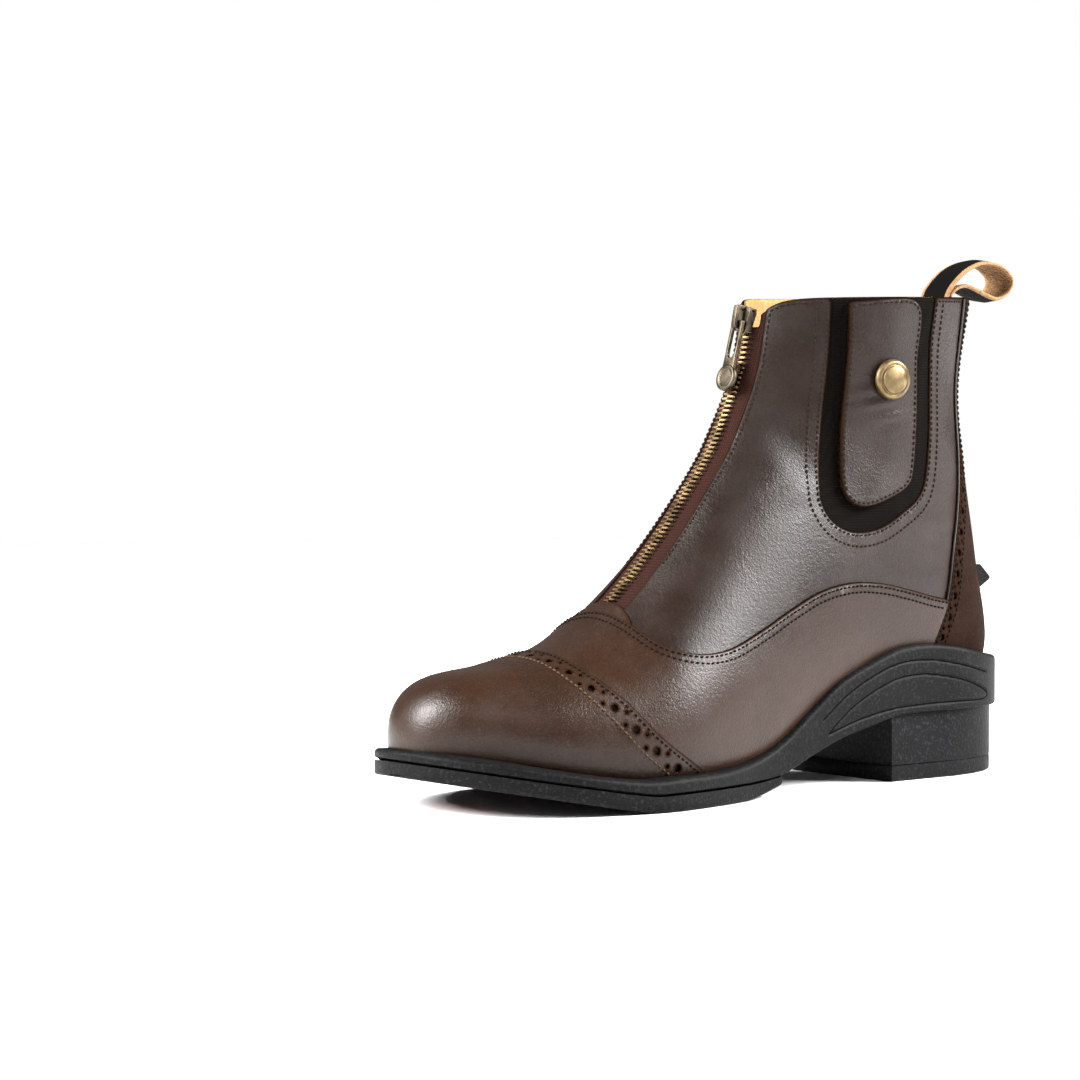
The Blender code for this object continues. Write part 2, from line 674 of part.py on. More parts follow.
def make_toe_cap():
    """The toe cap over the front of the upper."""
    cap = skin("toe_cap", GAP, GAP + OVERLAY, VAMP_LEATHER)
    edge = smooth_points(CAP_EDGE, INSTEP_HEIGHT, EDGE_STEPS)
    front = [(SOLE_LENGTH + WEB_WIDTH, edge[-1][1]), (SOLE_LENGTH + WEB_WIDTH, edge[0][1])]
    shape = side_mesh("cap_region", edge + front)
    combine(cap, cutter("cap_region", shape), "INTERSECT")
    return trim_to_sole(cap)


def trim_to_sole(item):
    """Stop an overlay just above the sole's lip."""
    line = height_line(lip_at, 2 * GAP)
    below = line + [(line[-1][0], -HEEL_SEAT), (line[0][0], -HEEL_SEAT)]
    name = item.name + "_lip"
    return combine(item, cutter(name, side_mesh(name, below)), "DIFFERENCE")


def make_vamp():
    """The vamp and foxing between toe cap, seam and backstrip."""
    vamp = skin("vamp", GAP, GAP + OVERLAY, VAMP_LEATHER)
    seam = smooth_points(VAMP_SEAM, INSTEP_HEIGHT, SEAM_STEPS)
    cap = smooth_points(CAP_EDGE, INSTEP_HEIGHT, EDGE_STEPS, -GAP)
    shape = seam + [(seam[-1][0], 0), (cap[-1][0], 0)] + cap[::-1]
    shape += [(cap[0][0], seam[0][1] + WALL)]
    combine(vamp, cutter("vamp_region", side_mesh("vamp_region", shape)), "INTERSECT")
    behind = strip_region(GAP)
    combine(vamp, cutter("vamp_rear", side_mesh("vamp_rear", behind)), "DIFFERENCE")
    return trim_to_sole(vamp)


def strip_region(shift=0.0):
    """Side view of what lies behind the backstrip's front edge."""
    edge = smooth_points(BACKSTRIP_EDGE, COLLAR_HEIGHT, EDGE_STEPS, shift)
    return edge + [(-SPUR_WIDTH, edge[-1][1]), (-SPUR_WIDTH, edge[0][1])]


def make_backstrip():
    """The strip up the back of the boot, from the sole to the collar."""
    strip = skin("backstrip", GAP, GAP + OVERLAY, LEATHER)
    shape = side_mesh("strip_region", strip_region())
    combine(strip, cutter("strip_region", shape), "INTERSECT")
    top = smooth_points(COLLAR_LINE, COLLAR_HEIGHT, EDGE_STEPS)
    above = top + [(top[-1][0], 2 * COLLAR_HEIGHT), (top[0][0], 2 * COLLAR_HEIGHT)]
    combine(strip, cutter("strip_top", side_mesh("strip_top", above)), "DIFFERENCE")
    return trim_to_sole(strip)


def make_gore(name, side):
    """The elastic in one gore window."""
    gore = skin(name, -WALL + GAP, -2 * GAP, ELASTIC)
    top = GORE_TOP * COLLAR_HEIGHT
    edge = grown(points_of(GORE_EDGE, COLLAR_HEIGHT), -GAP)
    edge = [(along, min(z, top)) for along, z in edge]
    low_x, high_x = (0, CUTTER_HALF) if side > 0 else (-CUTTER_HALF, 0)
    shape = side_mesh(name + "_region", edge, low_x, high_x)
    return combine(gore, cutter(name + "_region", shape), "INTERSECT")


def make_tab(name, side):
    """The leather tab over the elastic."""
    tab = skin(name, GAP, GAP + TAB_THICK, LEATHER)
    edge = points_of(TAB_EDGE, COLLAR_HEIGHT)
    low_x, high_x = (0, CUTTER_HALF) if side > 0 else (-CUTTER_HALF, 0)
    shape = side_mesh(name + "_region", edge, low_x, high_x)
    return combine(tab, cutter(name + "_region", shape), "INTERSECT")


def side_point(place, height, offset):
    """A point on the outer side of the form and its outward direction."""
    mesh = form_mesh("side_probe", offset)
    work = bmesh.new()
    work.from_mesh(mesh)
    bpy.data.meshes.remove(mesh)
    start = Vector((CUTTER_HALF, ORIGIN_ALONG - place * SOLE_LENGTH, height * COLLAR_HEIGHT))
    point, normal, _, _ = BVHTree.FromBMesh(work).ray_cast(start, Vector((-1, 0, 0)))
    work.free()
    return point, normal


def turned(name, profile, steps, material):
    """A turned solid from (radius, height) points, run down its outer side."""
    mesh = bpy.data.meshes.new(name)
    mesh.from_pydata([(radius, 0, height) for radius, height in profile],
                     [(i, i + 1) for i in range(len(profile) - 1)], [])
    item = part(name, mesh, material)
    spin = item.modifiers.new("turn", "SCREW")
    spin.steps = steps
    spin.render_steps = steps
    spin.use_merge_vertices = True
    spin.merge_threshold = 1e-5
    spin.use_smooth_shade = True
    return item


def make_button():
    """The domed snap button on the outer tab."""
    arc = np.linspace(0, math.pi / 2, DOME_STEPS)
    dome = [(DOME_SHARE * BUTTON_RADIUS * math.sin(a), BUTTON_RIM + BUTTON_DOME * math.cos(a))
            for a in arc]
    profile = dome + [(BUTTON_RADIUS, BUTTON_RIM), (BUTTON_RADIUS, 0), (0, 0)]
    button = turned("snap_button", profile, BUTTON_STEPS, BRASS)
    place, normal = side_point(*BUTTON_PLACE, 2 * GAP + TAB_THICK)
    button.location = place + normal * GAP
    button.rotation_euler = normal.to_track_quat("Z", "Y").to_euler()
    return button


def make_zip_tape():
    """The cloth tape that closes the throat."""
    tape = skin("zip_tape", -TAPE_SINK - TAPE_THICK, -TAPE_SINK, TAPE_CLOTH)
    band = throat_mesh("tape_band", TAPE_END, GAP)
    combine(tape, cutter("tape_band", band), "INTERSECT")
    top = smooth_points(COLLAR_LINE, COLLAR_HEIGHT, EDGE_STEPS)
    above = top + [(top[-1][0], 2 * COLLAR_HEIGHT), (top[0][0], 2 * COLLAR_HEIGHT)]
    return combine(tape, cutter("tape_top", side_mesh("tape_top", above)), "DIFFERENCE")


def make_zip_teeth():
    """The closed chain of teeth, from the vamp to the slider."""
    low = front_mark(TEETH_END, "along")
    reach = (SLIDER_LENGTH / 2 + 2 * GAP) / COLLAR_HEIGHT
    high = front_mark(SLIDER_PLACE - reach, "height")
    points, outward, shift = front_line(np.linspace(low, high, ZIP_STEPS))
    bottom = GAP - TAPE_SINK
    rings = []
    for point, out, x in zip(points, outward, shift):
        near = point + out * bottom
        far = point + out * (bottom + TEETH_THICK)
        half = TEETH_WIDTH / 2
        rings.append([(x - half, *near), (x + half, *near),
                      (x + TEETH_TAPER * half, *far), (x - TEETH_TAPER * half, *far)])
    mesh = loft_mesh("zip_teeth", rings)
    return part("zip_teeth", mesh, BRASS)


def slider_frame():
    """Place of the slider on the front line: columns across, up the zip, outward."""
    mark = front_mark(SLIDER_PLACE, "height")
    points, outward, shift = front_line(np.array([mark - SLIDER_SPAN, mark, mark + SLIDER_SPAN]))
    place = to_world([(shift[1], *points[1])])[0]
    out = Vector((0, -outward[1][0], outward[1][1])).normalized()
    across = Vector((1, 0, 0))
    up = out.cross(across)
    frame = Matrix((across, up, out)).transposed().to_4x4()
    frame.translation = place
    return frame


def make_slider(frame):
    """The slider's body with the bridge that holds the pull."""
    base = GAP - TAPE_SINK
    face = base + SLIDER_THICK
    root = (base + face) / 2
    window = face + BRIDGE_WINDOW
    low = -SLIDER_LENGTH / 2
    body = box_mesh("zip_slider", (-SLIDER_WIDTH / 2, low, base),
                    (SLIDER_WIDTH / 2, -low, face))
    slider = part("zip_slider", body, BRASS)
    outer, inner = BRIDGE_LENGTH / 2, BRIDGE_INSIDE / 2
    arch = [(-outer, root), (-inner, root), (-inner, window), (inner, window),
            (inner, root), (outer, root), (outer, window + BRIDGE_THICK),
            (-outer, window + BRIDGE_THICK)]
    bridge = flat_mesh("slider_bridge", [arch], BRIDGE_WIDTH / 2, ((0, 1, 0), (0, 0, 1)))
    combine(slider, cutter("slider_bridge", bridge), "UNION")
    for item in (slider, CUTTERS.objects["slider_bridge"]):
        item.matrix_world = frame
    return slider


def pull_outlines():
    """Outer edge and slot of the pull, hung from its pivot at the origin."""
    bar = PULL_THICK / 2
    half = PULL_WIDTH / 2
    centre = -(PULL_LENGTH - bar - PULL_DISC_RADIUS)
    meet = math.acos(half / PULL_DISC_RADIUS)
    disc = [(PULL_DISC_RADIUS * math.cos(a), centre + PULL_DISC_RADIUS * math.sin(a))
            for a in np.linspace(meet, -math.pi - meet, DISC_STEPS)]
    outer = [(-half + bar, bar), (half - bar, bar), (half, 0), *disc, (-half, 0)]
    inner = PULL_SLOT / 2
    end = -bar - PULL_SLOT_LENGTH + inner
    arc = [(inner * math.cos(a), end + inner * math.sin(a))
           for a in np.linspace(0, -math.pi, SLOT_STEPS)]
    return outer, [(-inner, -bar), (inner, -bar), *arc]


def make_pull(frame):
    """The pull tab, hinged on the slider's bridge, with its disc against the zip."""
    middle = GAP - TAPE_SINK + SLIDER_THICK + BRIDGE_WINDOW / 2
    lower = (BRIDGE_WINDOW - BRIDGE_INSIDE) / 2
    pivot = frame @ Vector((0, lower, middle))
    marks = np.linspace(front_mark(TEETH_END, "along"), len(SECTIONS) - 1, FINE_STEPS)
    points, outward, _ = front_line(marks)
    clear = points + outward * (TEETH_THICK + PULL_THICK)
    place = np.array((ORIGIN_ALONG - pivot.y, pivot.z))
    below = clear[(clear[:, 1] < place[1] - SLIDER_LENGTH / 2)
                  & (clear[:, 1] > place[1] - PULL_LENGTH)]
    lean = max(math.atan2(a - place[0], place[1] - z) for a, z in below)
    mesh = flat_mesh("zip_pull", list(pull_outlines()), PULL_THICK / 2,
                     ((1, 0, 0), (0, 0, 1)))
    pull = part("zip_pull", mesh, BRASS)
    pull.location = pivot
    pull.rotation_euler = (-lean, 0, 0)
    return pull


def back_at(height, offset, side=0.0):
    """Place along the boot of the form's back, at a height and a distance to one side."""
    rings, _ = form_rings(offset)
    places = []
    for ring in rings[-len(SECTIONS) // 2:]:
        half = ring[ROUND // 4:ROUND // 2 + 1][::-1]
        places.append([np.interp(side, half[:, 0], half[:, column]) for column in (2, 1)])
    places = np.array(places)
    return float(np.interp(height, places[:, 0], places[:, 1]))


def make_loop():
    """The webbing pull loop at the back of the collar."""
    hem = LOOP_HEM * COLLAR_HEIGHT
    behind = [(back_at(z, -WALL, WEB_WIDTH / 2) + WEB_THICK / 2 + 2 * GAP, z)
              for z in (hem - LOOP_TAIL, hem - LOOP_TAIL / 2, hem - WEB_THICK)]
    ahead = [(place + WEB_THICK + GAP, z) for place, z in behind]
    start = ahead[-1][0]
    route = [(start - at * LOOP_REACH, hem + high * LOOP_RISE) for at, high in LOOP_ROUTE]
    rows = [*ahead, *route, *behind[::-1]]
    line = spline(np.arange(len(rows)), rows, np.linspace(0, len(rows) - 1, LOOP_STEPS))
    edges = strip_outline(line, WEB_THICK)
    half = WEB_WIDTH / 2
    rings = []
    for i in range(len(line)):
        (a, b), (c, d) = edges[i], edges[-i - 1]
        rings.append([(-half, a, b), (half, a, b), (half, c, d), (-half, c, d)])
    return part("pull_loop", loft_mesh("pull_loop", rings), WEBBING)


def make_spur_rest():
    """The small wedge on the back that a spur's strap rests on."""
    height = SPUR_PLACE * COLLAR_HEIGHT
    place = back_at(height, 2 * GAP + OVERLAY)
    outline = [(place + 2 * SPUR_HEIGHT, height - SPUR_HEIGHT / 2),
               (place, height - SPUR_HEIGHT / 2),
               (place - SPUR_PROUD, height), (place - SPUR_PROUD, height + WALL / 2),
               (place, height + SPUR_HEIGHT), (place + 2 * SPUR_HEIGHT, height + SPUR_HEIGHT)]
    mesh = side_mesh("spur_rest", outline, -SPUR_WIDTH / 2, SPUR_WIDTH / 2)
    rest = part("spur_rest", mesh, RUBBER)
    seat = form_mesh("spur_seat", 2 * GAP + OVERLAY)
    return combine(rest, cutter("spur_seat", seat), "DIFFERENCE")


def side_groove_band(name, outline):
    """The material of the sole's side within a groove's depth of its face."""
    band = cutter(name, side_mesh(name, outline))
    return combine(band, CUTTERS.objects["sole_core"], "DIFFERENCE")


def make_sole_unit():
    """The moulded sole: welt, waist and heel cup, with grooves on its sides."""
    levels = [(EDGE_ROUND, under_at), (0, raised(under_at, EDGE_ROUND)),
              (0, raised(lip_at, -EDGE_ROUND)), (EDGE_ROUND, lip_at)]
    sole = part("sole_unit", ladder_mesh("sole_unit", levels), RUBBER)
    nest = cutter("sole_nest", form_mesh("sole_nest", GAP))
    above = height_line(seat_at) + [(SOLE_LENGTH + WEB_WIDTH, 2 * COLLAR_HEIGHT),
                                    (-WEB_WIDTH, 2 * COLLAR_HEIGHT)]
    floor = cutter("sole_floor", side_mesh("sole_floor", above))
    combine(nest, floor, "INTERSECT")
    combine(sole, nest, "DIFFERENCE")
    core = [(SIDE_GROOVE, raised(under_at, -CUP_HEIGHT)), (SIDE_GROOVE, raised(lip_at, CUP_HEIGHT))]
    cutter("sole_core", ladder_mesh("sole_core", core))
    leaf = grown(smooth_ring(LEAF_EDGE, CUP_HEIGHT, LEAF_STEPS), SIDE_GROOVE_WIDTH / 2)
    groove = side_groove_band("leaf_groove", leaf)
    inside = side_mesh("leaf_inside", grown(leaf, -SIDE_GROOVE_WIDTH))
    combine(groove, cutter("leaf_inside", inside), "DIFFERENCE")
    arc = strip_outline(smooth_points(ARC_LINE, CUP_HEIGHT, EDGE_STEPS), SIDE_GROOVE_WIDTH)
    combine(sole, groove, "DIFFERENCE")
    combine(sole, side_groove_band("arc_groove", arc), "DIFFERENCE")
    return sole


def smooth_ring(rows, height, count):
    """A closed table of shares as a smooth closed line."""
    looped = [*rows, rows[0]]
    return smooth_points(looped, height, count + 1)[:-1]


def rear_edge_mesh():
    """What is cut behind the tread plate: an edge with a scallop in the middle."""
    across = np.linspace(-1, 1, SCALLOP_STEPS)
    start = PLATE_START * SOLE_LENGTH
    edge = [(x * CUTTER_HALF, start + SCALLOP_DEPTH * math.cos(math.pi * x * SCALLOP_WAVES)**2
             * (abs(x) < SCALLOP_REACH)) for x in across]
    back = [(CUTTER_HALF, -CUTTER_HALF), (-CUTTER_HALF, -CUTTER_HALF)]
    return plan_mesh("plate_rear", edge + back, -HEEL_SEAT, HEEL_SEAT)


def chevron(index, width):
    """Plan outline of one chevron groove across the tread."""
    first = PLATE_START * SOLE_LENGTH + SCALLOP_DEPTH + BORDER_WIDTH
    middle = first + (index + CHEVRON_LEAD) * CHEVRON_PITCH
    half = CHEVRON_REACH * BALL_WIDTH
    flat = CHEVRON_FLAT * half
    line = [(-half, middle - CHEVRON_SWEEP), (-flat, middle),
            (flat, middle), (half, middle - CHEVRON_SWEEP)]
    return strip_outline(line, width)


def make_outsole():
    """The forefoot's tread plate: border, chevron pads and recessed grooves."""
    levels = [(EDGE_ROUND, ground_at), (0, raised(ground_at, EDGE_ROUND)),
              (0, raised(under_at, -GAP))]
    plate = part("outsole", ladder_mesh("outsole", levels), RUBBER)
    rear = cutter("plate_rear", rear_edge_mesh())
    combine(plate, rear, "DIFFERENCE")
    deep = raised(ground_at, TREAD_DEPTH)
    low = raised(ground_at, -TREAD_DEPTH)
    recess = cutter("tread_recess", ladder_mesh("tread_recess", [
        (BORDER_WIDTH, low), (BORDER_WIDTH, deep)]))
    behind = rear_edge_mesh()
    behind.transform(Matrix.Translation((0, -BORDER_WIDTH, 0)))
    combine(recess, cutter("recess_rear", behind), "DIFFERENCE")
    pad_inset = BORDER_WIDTH + PAD_GROOVE
    pads = cutter("tread_pads", ladder_mesh("tread_pads", [
        (pad_inset, raised(low, -GAP)), (pad_inset, raised(deep, GAP))]))
    pad_rear = rear_edge_mesh()
    pad_rear.transform(Matrix.Translation((0, -pad_inset, 0)))
    combine(pads, cutter("pads_rear", pad_rear), "DIFFERENCE")
    for index in range(CHEVRON_COUNT):
        name = f"chevron_{index}"
        shape = plan_mesh(name, chevron(index, CHEVRON_WIDTH), -HEEL_SEAT, HEEL_SEAT)
        combine(pads, cutter(name, shape), "DIFFERENCE")
    combine(recess, pads, "DIFFERENCE")
    return combine(plate, recess, "DIFFERENCE")


def make_inserts():
    """Coloured strips laid in every second chevron groove."""
    inset = BORDER_WIDTH + 2 * PAD_GROOVE
    for number, index in enumerate(range(0, CHEVRON_COUNT, 2), start=1):
        name = f"tread_insert_{number}"
        levels = [(inset, raised(ground_at, INSERT_STEP)),
                  (inset, raised(ground_at, TREAD_DEPTH - GAP))]
        strip = part(name, ladder_mesh(name, levels), TREAD_RED)
        width = CHEVRON_WIDTH - 4 * GAP
        shape = plan_mesh(name + "_band", chevron(index, width), -HEEL_SEAT, HEEL_SEAT)
        combine(strip, cutter(name + "_band", shape), "INTERSECT")


def breast_mesh(name):
    """What is cut in front of the heel."""
    return box_mesh(name, (-CUTTER_HALF, -2 * SOLE_LENGTH, -HEEL_SEAT),
                    (CUTTER_HALF, ORIGIN_ALONG - HEEL_REACH, 2 * HEEL_SEAT))


def make_heel():
    """The heel block between the lift and the cup."""
    levels = [(HEEL_INSET, level(HEEL_LIFT + GAP)), (HEEL_INSET, raised(under_at, -GAP))]
    heel = part("heel_block", ladder_mesh("heel_block", levels), RUBBER)
    return combine(heel, cutter("breast", breast_mesh("breast")), "DIFFERENCE")


def make_lift():
    """The heel's bottom lift with a recessed ring and a slot."""
    levels = [(HEEL_INSET + EDGE_ROUND / 2, level(0)), (HEEL_INSET, level(EDGE_ROUND / 2)),
              (HEEL_INSET, level(HEEL_LIFT))]
    lift = part("heel_lift", ladder_mesh("heel_lift", levels), RUBBER)
    combine(lift, CUTTERS.objects["breast"], "DIFFERENCE")
    place = slot_outline(HEEL_SLOT_LENGTH, HEEL_SLOT_WIDTH)
    slot = cutter("heel_slot", plan_mesh("heel_slot", place, -TREAD_DEPTH, TREAD_DEPTH))
    return combine(lift, slot, "DIFFERENCE")


def slot_outline(length, width):
    """A slot with round ends across the heel, behind its middle."""
    centre = ORIGIN_ALONG - HEEL_SLOT_BACK
    reach = (length - width) / 2
    right = [(reach + width / 2 * math.cos(a), centre + width / 2 * math.sin(a))
             for a in np.linspace(-math.pi / 2, math.pi / 2, SLOT_STEPS)]
    return right + [(-x, 2 * centre - along) for x, along in right]


def make_heel_insert():
    """The coloured strip in the heel's slot."""
    shape = slot_outline(HEEL_SLOT_LENGTH - 4 * GAP, HEEL_SLOT_WIDTH - 4 * GAP)
    mesh = plan_mesh("heel_insert", shape, INSERT_STEP, TREAD_DEPTH - GAP)
    return part("heel_insert", mesh, TREAD_RED)


clear_scene()
BOOT = make_collection("paddock_boot")
CUTTERS = make_collection("cutters")
make_upper()
make_insole()
make_sole_unit()
make_outsole()
make_inserts()
make_heel()
make_lift()
make_heel_insert()
make_vamp()
make_toe_cap()
make_backstrip()
make_gore("gore_outer", 1)
make_gore("gore_inner", -1)
make_tab("tab_outer", 1)
make_tab("tab_inner", -1)
make_button()
make_zip_tape()
make_zip_teeth()
SLIDER_FRAME = slider_frame()
make_slider(SLIDER_FRAME)
make_pull(SLIDER_FRAME)
make_loop()
make_spur_rest()
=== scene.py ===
"""Visual model of the left paddock boot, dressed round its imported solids.

Metres, in the part's own frame: X to the outer side of the foot, Y from toe to
heel, Z up. "Along" is the distance forward from the back of the heel.
"""
import json
import math
from collections import namedtuple

import bmesh
import bpy
import numpy as np
from mathutils import Matrix, Vector
from mathutils.bvhtree import BVHTree

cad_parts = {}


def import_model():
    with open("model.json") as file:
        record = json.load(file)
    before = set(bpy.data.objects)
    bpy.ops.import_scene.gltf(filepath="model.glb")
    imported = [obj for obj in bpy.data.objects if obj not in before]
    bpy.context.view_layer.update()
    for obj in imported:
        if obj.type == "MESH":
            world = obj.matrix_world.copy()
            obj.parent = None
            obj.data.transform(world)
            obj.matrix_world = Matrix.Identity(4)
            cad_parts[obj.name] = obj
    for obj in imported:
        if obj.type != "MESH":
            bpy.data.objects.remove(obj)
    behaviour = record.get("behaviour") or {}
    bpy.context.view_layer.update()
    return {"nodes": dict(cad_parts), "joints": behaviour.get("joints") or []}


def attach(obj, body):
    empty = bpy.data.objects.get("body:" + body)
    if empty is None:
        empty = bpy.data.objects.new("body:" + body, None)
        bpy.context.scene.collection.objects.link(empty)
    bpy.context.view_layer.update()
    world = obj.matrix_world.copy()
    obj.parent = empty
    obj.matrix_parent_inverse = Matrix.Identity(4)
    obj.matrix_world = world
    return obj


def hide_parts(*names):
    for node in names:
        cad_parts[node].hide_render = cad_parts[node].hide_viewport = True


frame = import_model()

# Driving sizes of the last and the sole
SOLE_LENGTH = 0.278
BALL_WIDTH = 0.091
INSTEP_HEIGHT = 0.115
SHAFT_RISE = 0.075
HEEL_SEAT = 0.0305
CUP_HEIGHT = 0.0526
TOE_SPRING = 0.0131
TOE_SHIFT = 0.0045
HEEL_FLARE = 0.002
REAR_TUCK = 0.0042

# Leather, elastic and the clearance between pieces
WALL = 0.0022
OVERLAY = 0.0012
TAB_THICK = 0.0016
INSOLE_THICK = 0.003
GAP = 0.0003

# Heel and tread
HEEL_INSET = 0.0022
HEEL_LIFT = 0.0061
HEEL_REACH = 0.0728
EDGE_ROUND = 0.0011
BORDER_WIDTH = 0.0105
PAD_GROOVE = 0.0024
TREAD_DEPTH = 0.0026
CHEVRON_WIDTH = 0.0052
CHEVRON_COUNT = 5
CHEVRON_LEAD = 0.9
CHEVRON_REACH = 0.6
CHEVRON_FLAT = 0.2
SCALLOP_DEPTH = 0.0085
SCALLOP_WAVES = 1.6
SCALLOP_REACH = 0.94

# Zip
THROAT_HALF = 0.0100
THROAT_TAPER = 0.0035
TAPE_SINK = 0.0007
TAPE_THICK = 0.0012
TEETH_THICK = 0.0018
SLIDER_WIDTH = 0.0088
SLIDER_LENGTH = 0.0100
SLIDER_THICK = 0.0034
BRIDGE_WIDTH = 0.0024
BRIDGE_LENGTH = 0.0094
BRIDGE_INSIDE = 0.0062
BRIDGE_WINDOW = 0.0024
BRIDGE_THICK = 0.0015
PULL_THICK = 0.0014
PULL_WIDTH = 0.0066
PULL_SLOT = 0.0037
PULL_SLOT_LENGTH = 0.0135
PULL_DISC_RADIUS = 0.0052
PULL_LENGTH = 0.0280

# Snap button and pull loop
BUTTON_RADIUS = 0.0078
BUTTON_DOME = 0.0034
BUTTON_RIM = 0.0013
WEB_WIDTH = 0.0160
WEB_THICK = 0.0014
LOOP_RISE = 0.0155
LOOP_REACH = 0.0360
LOOP_TAIL = 0.0150
LOOP_HEM = 0.985

# Sizes that follow
COLLAR_HEIGHT = INSTEP_HEIGHT + SHAFT_RISE
BACK_HEIGHT = COLLAR_HEIGHT - HEEL_SEAT
HEEL_BACK = HEEL_INSET - HEEL_FLARE
ORIGIN_ALONG = (HEEL_BACK + HEEL_REACH) / 2
SEAT_SINK = 1.2 * INSOLE_THICK
TOE_POLE = (-1.1 * TOE_SHIFT, 0.978 * SOLE_LENGTH, 0.207 * INSTEP_HEIGHT)
CHEVRON_PITCH = 0.0763 * SOLE_LENGTH
CHEVRON_SWEEP = 0.121 * BALL_WIDTH
TOE_PLAN_ROUND = 2.37
TOE_SIDE_ROUND = 2.53
CLEAR_SIDE = BALL_WIDTH

# Sections of the upper, toe to collar. Each lies in a plane through a front
# point and a back point. Columns: front place and back place as shares of
# SOLE_LENGTH; front height as a share of INSTEP_HEIGHT plus one of SHAFT_RISE;
# back height above the seat as a share of BACK_HEIGHT; outer and inner half
# width and sideways shift as shares of BALL_WIDTH; where the section is widest;
# roundness of its front half and of its back half.
Section = namedtuple("Section", "front instep shaft back rise outer inner shift widest crown base")
SECTIONS = [
    Section(0.899, 0.414, 0.00, 0.903, 0.00, 0.316, 0.328, -0.044, 0.60, 2.27, 4.0),
    Section(0.835, 0.437, 0.00, 0.838, 0.00, 0.409, 0.409, -0.022, 0.66, 2.17, 4.2),
    Section(0.737, 0.501, 0.00, 0.745, 0.00, 0.486, 0.464, 0.000, 0.70, 2.08, 4.6),
    Section(0.662, 0.635, 0.00, 0.669, 0.00, 0.508, 0.447, 0.011, 0.72, 2.00, 4.8),
    Section(0.586, 0.823, 0.00, 0.590, 0.00, 0.480, 0.395, 0.016, 0.72, 1.90, 4.8),
    Section(0.527, 1.000, 0.00, 0.496, 0.00, 0.437, 0.360, 0.016, 0.68, 1.87, 4.2),
    Section(0.488, 1.000, 0.19, 0.378, 0.00, 0.399, 0.351, 0.011, 0.60, 1.88, 3.4),
    Section(0.469, 1.000, 0.31, 0.237, 0.00, 0.378, 0.351, 0.005, 0.52, 1.88, 2.9),
    Section(0.455, 1.000, 0.42, 0.087, 0.00, 0.370, 0.352, 0.000, 0.48, 1.85, 2.6),
    Section(0.443, 1.000, 0.52, 0.009, 0.10, 0.363, 0.350, 0.000, 0.46, 1.84, 2.3),
    Section(0.433, 1.000, 0.62, 0.024, 0.32, 0.350, 0.347, 0.000, 0.48, 1.82, 2.2),
    Section(0.426, 1.000, 0.72, 0.050, 0.56, 0.353, 0.353, 0.000, 0.48, 1.74, 2.2),
    Section(0.419, 1.000, 0.84, 0.066, 0.77, 0.361, 0.365, 0.000, 0.48, 1.68, 2.2),
    Section(0.410, 1.000, 1.00, 0.045, 1.00, 0.376, 0.378, 0.000, 0.48, 1.64, 2.2),
    Section(0.402, 1.000, 1.18, 0.030, 1.12, 0.384, 0.386, 0.000, 0.48, 1.62, 2.2),
]

# The sole from heel to toe: place as a share of SOLE_LENGTH, outer and inner
# half width as shares of BALL_WIDTH, underside and floor thickness as shares of
# HEEL_SEAT, and height of the lip round the upper as a share of CUP_HEIGHT.
SoleRow = namedtuple("SoleRow", "at outer inner under floor lip")
SOLE_ROWS = [
    SoleRow(0.000, 0.396, 0.386, 0.862, 0.138, 0.85),
    SoleRow(0.090, 0.400, 0.390, 0.862, 0.138, 0.92),
    SoleRow(0.140, 0.402, 0.390, 0.862, 0.138, 0.97),
    SoleRow(0.200, 0.402, 0.390, 0.862, 0.138, 1.00),
    SoleRow(0.250, 0.405, 0.390, 0.850, 0.140, 0.98),
    SoleRow(0.305, 0.412, 0.392, 0.748, 0.150, 0.89),
    SoleRow(0.367, 0.424, 0.394, 0.616, 0.150, 0.76),
    SoleRow(0.424, 0.444, 0.400, 0.446, 0.145, 0.57),
    SoleRow(0.482, 0.474, 0.412, 0.269, 0.130, 0.38),
    SoleRow(0.540, 0.518, 0.436, 0.213, 0.100, 0.275),
    SoleRow(0.600, 0.577, 0.478, 0.210, 0.080, 0.235),
    SoleRow(0.710, 0.643, 0.557, 0.210, 0.078, 0.226),
    SoleRow(0.800, 0.652, 0.568, 0.200, 0.075, 0.198),
    SoleRow(0.900, 0.652, 0.568, 0.190, 0.070, 0.182),
    SoleRow(1.000, 0.652, 0.568, 0.185, 0.070, 0.183),
]
HEEL_ROUND_SHARE = 0.165
TOE_ROUND_START = 0.70
OUTLINE_ROUND = 2.2
SPRING_START = 0.735
FLAT_START = 0.568
PLATE_START = 0.489

# Panel edges in the side view: place as a share of SOLE_LENGTH, height as a
# share of the size named at each one.
VAMP_SEAM = [  # INSTEP_HEIGHT
    (0.672, 0.86), (0.675, 0.70), (0.680, 0.61), (0.679, 0.55), (0.666, 0.50), (0.626, 0.476),
    (0.576, 0.487), (0.518, 0.537), (0.459, 0.600), (0.399, 0.655), (0.340, 0.678),
    (0.282, 0.671), (0.223, 0.643), (0.168, 0.613), (0.080, 0.58)]
CAP_EDGE = [  # INSTEP_HEIGHT
    (0.777, 0.60), (0.776, 0.46), (0.764, 0.398), (0.741, 0.328), (0.709, 0.235),
    (0.662, 0.150), (0.615, 0.090), (0.580, 0.040)]
BACKSTRIP_EDGE = [  # COLLAR_HEIGHT
    (0.100, 1.06), (0.096, 0.88), (0.097, 0.74), (0.106, 0.61), (0.120, 0.52), (0.135, 0.45),
    (0.149, 0.36), (0.164, 0.31), (0.176, 0.27), (0.186, 0.20)]
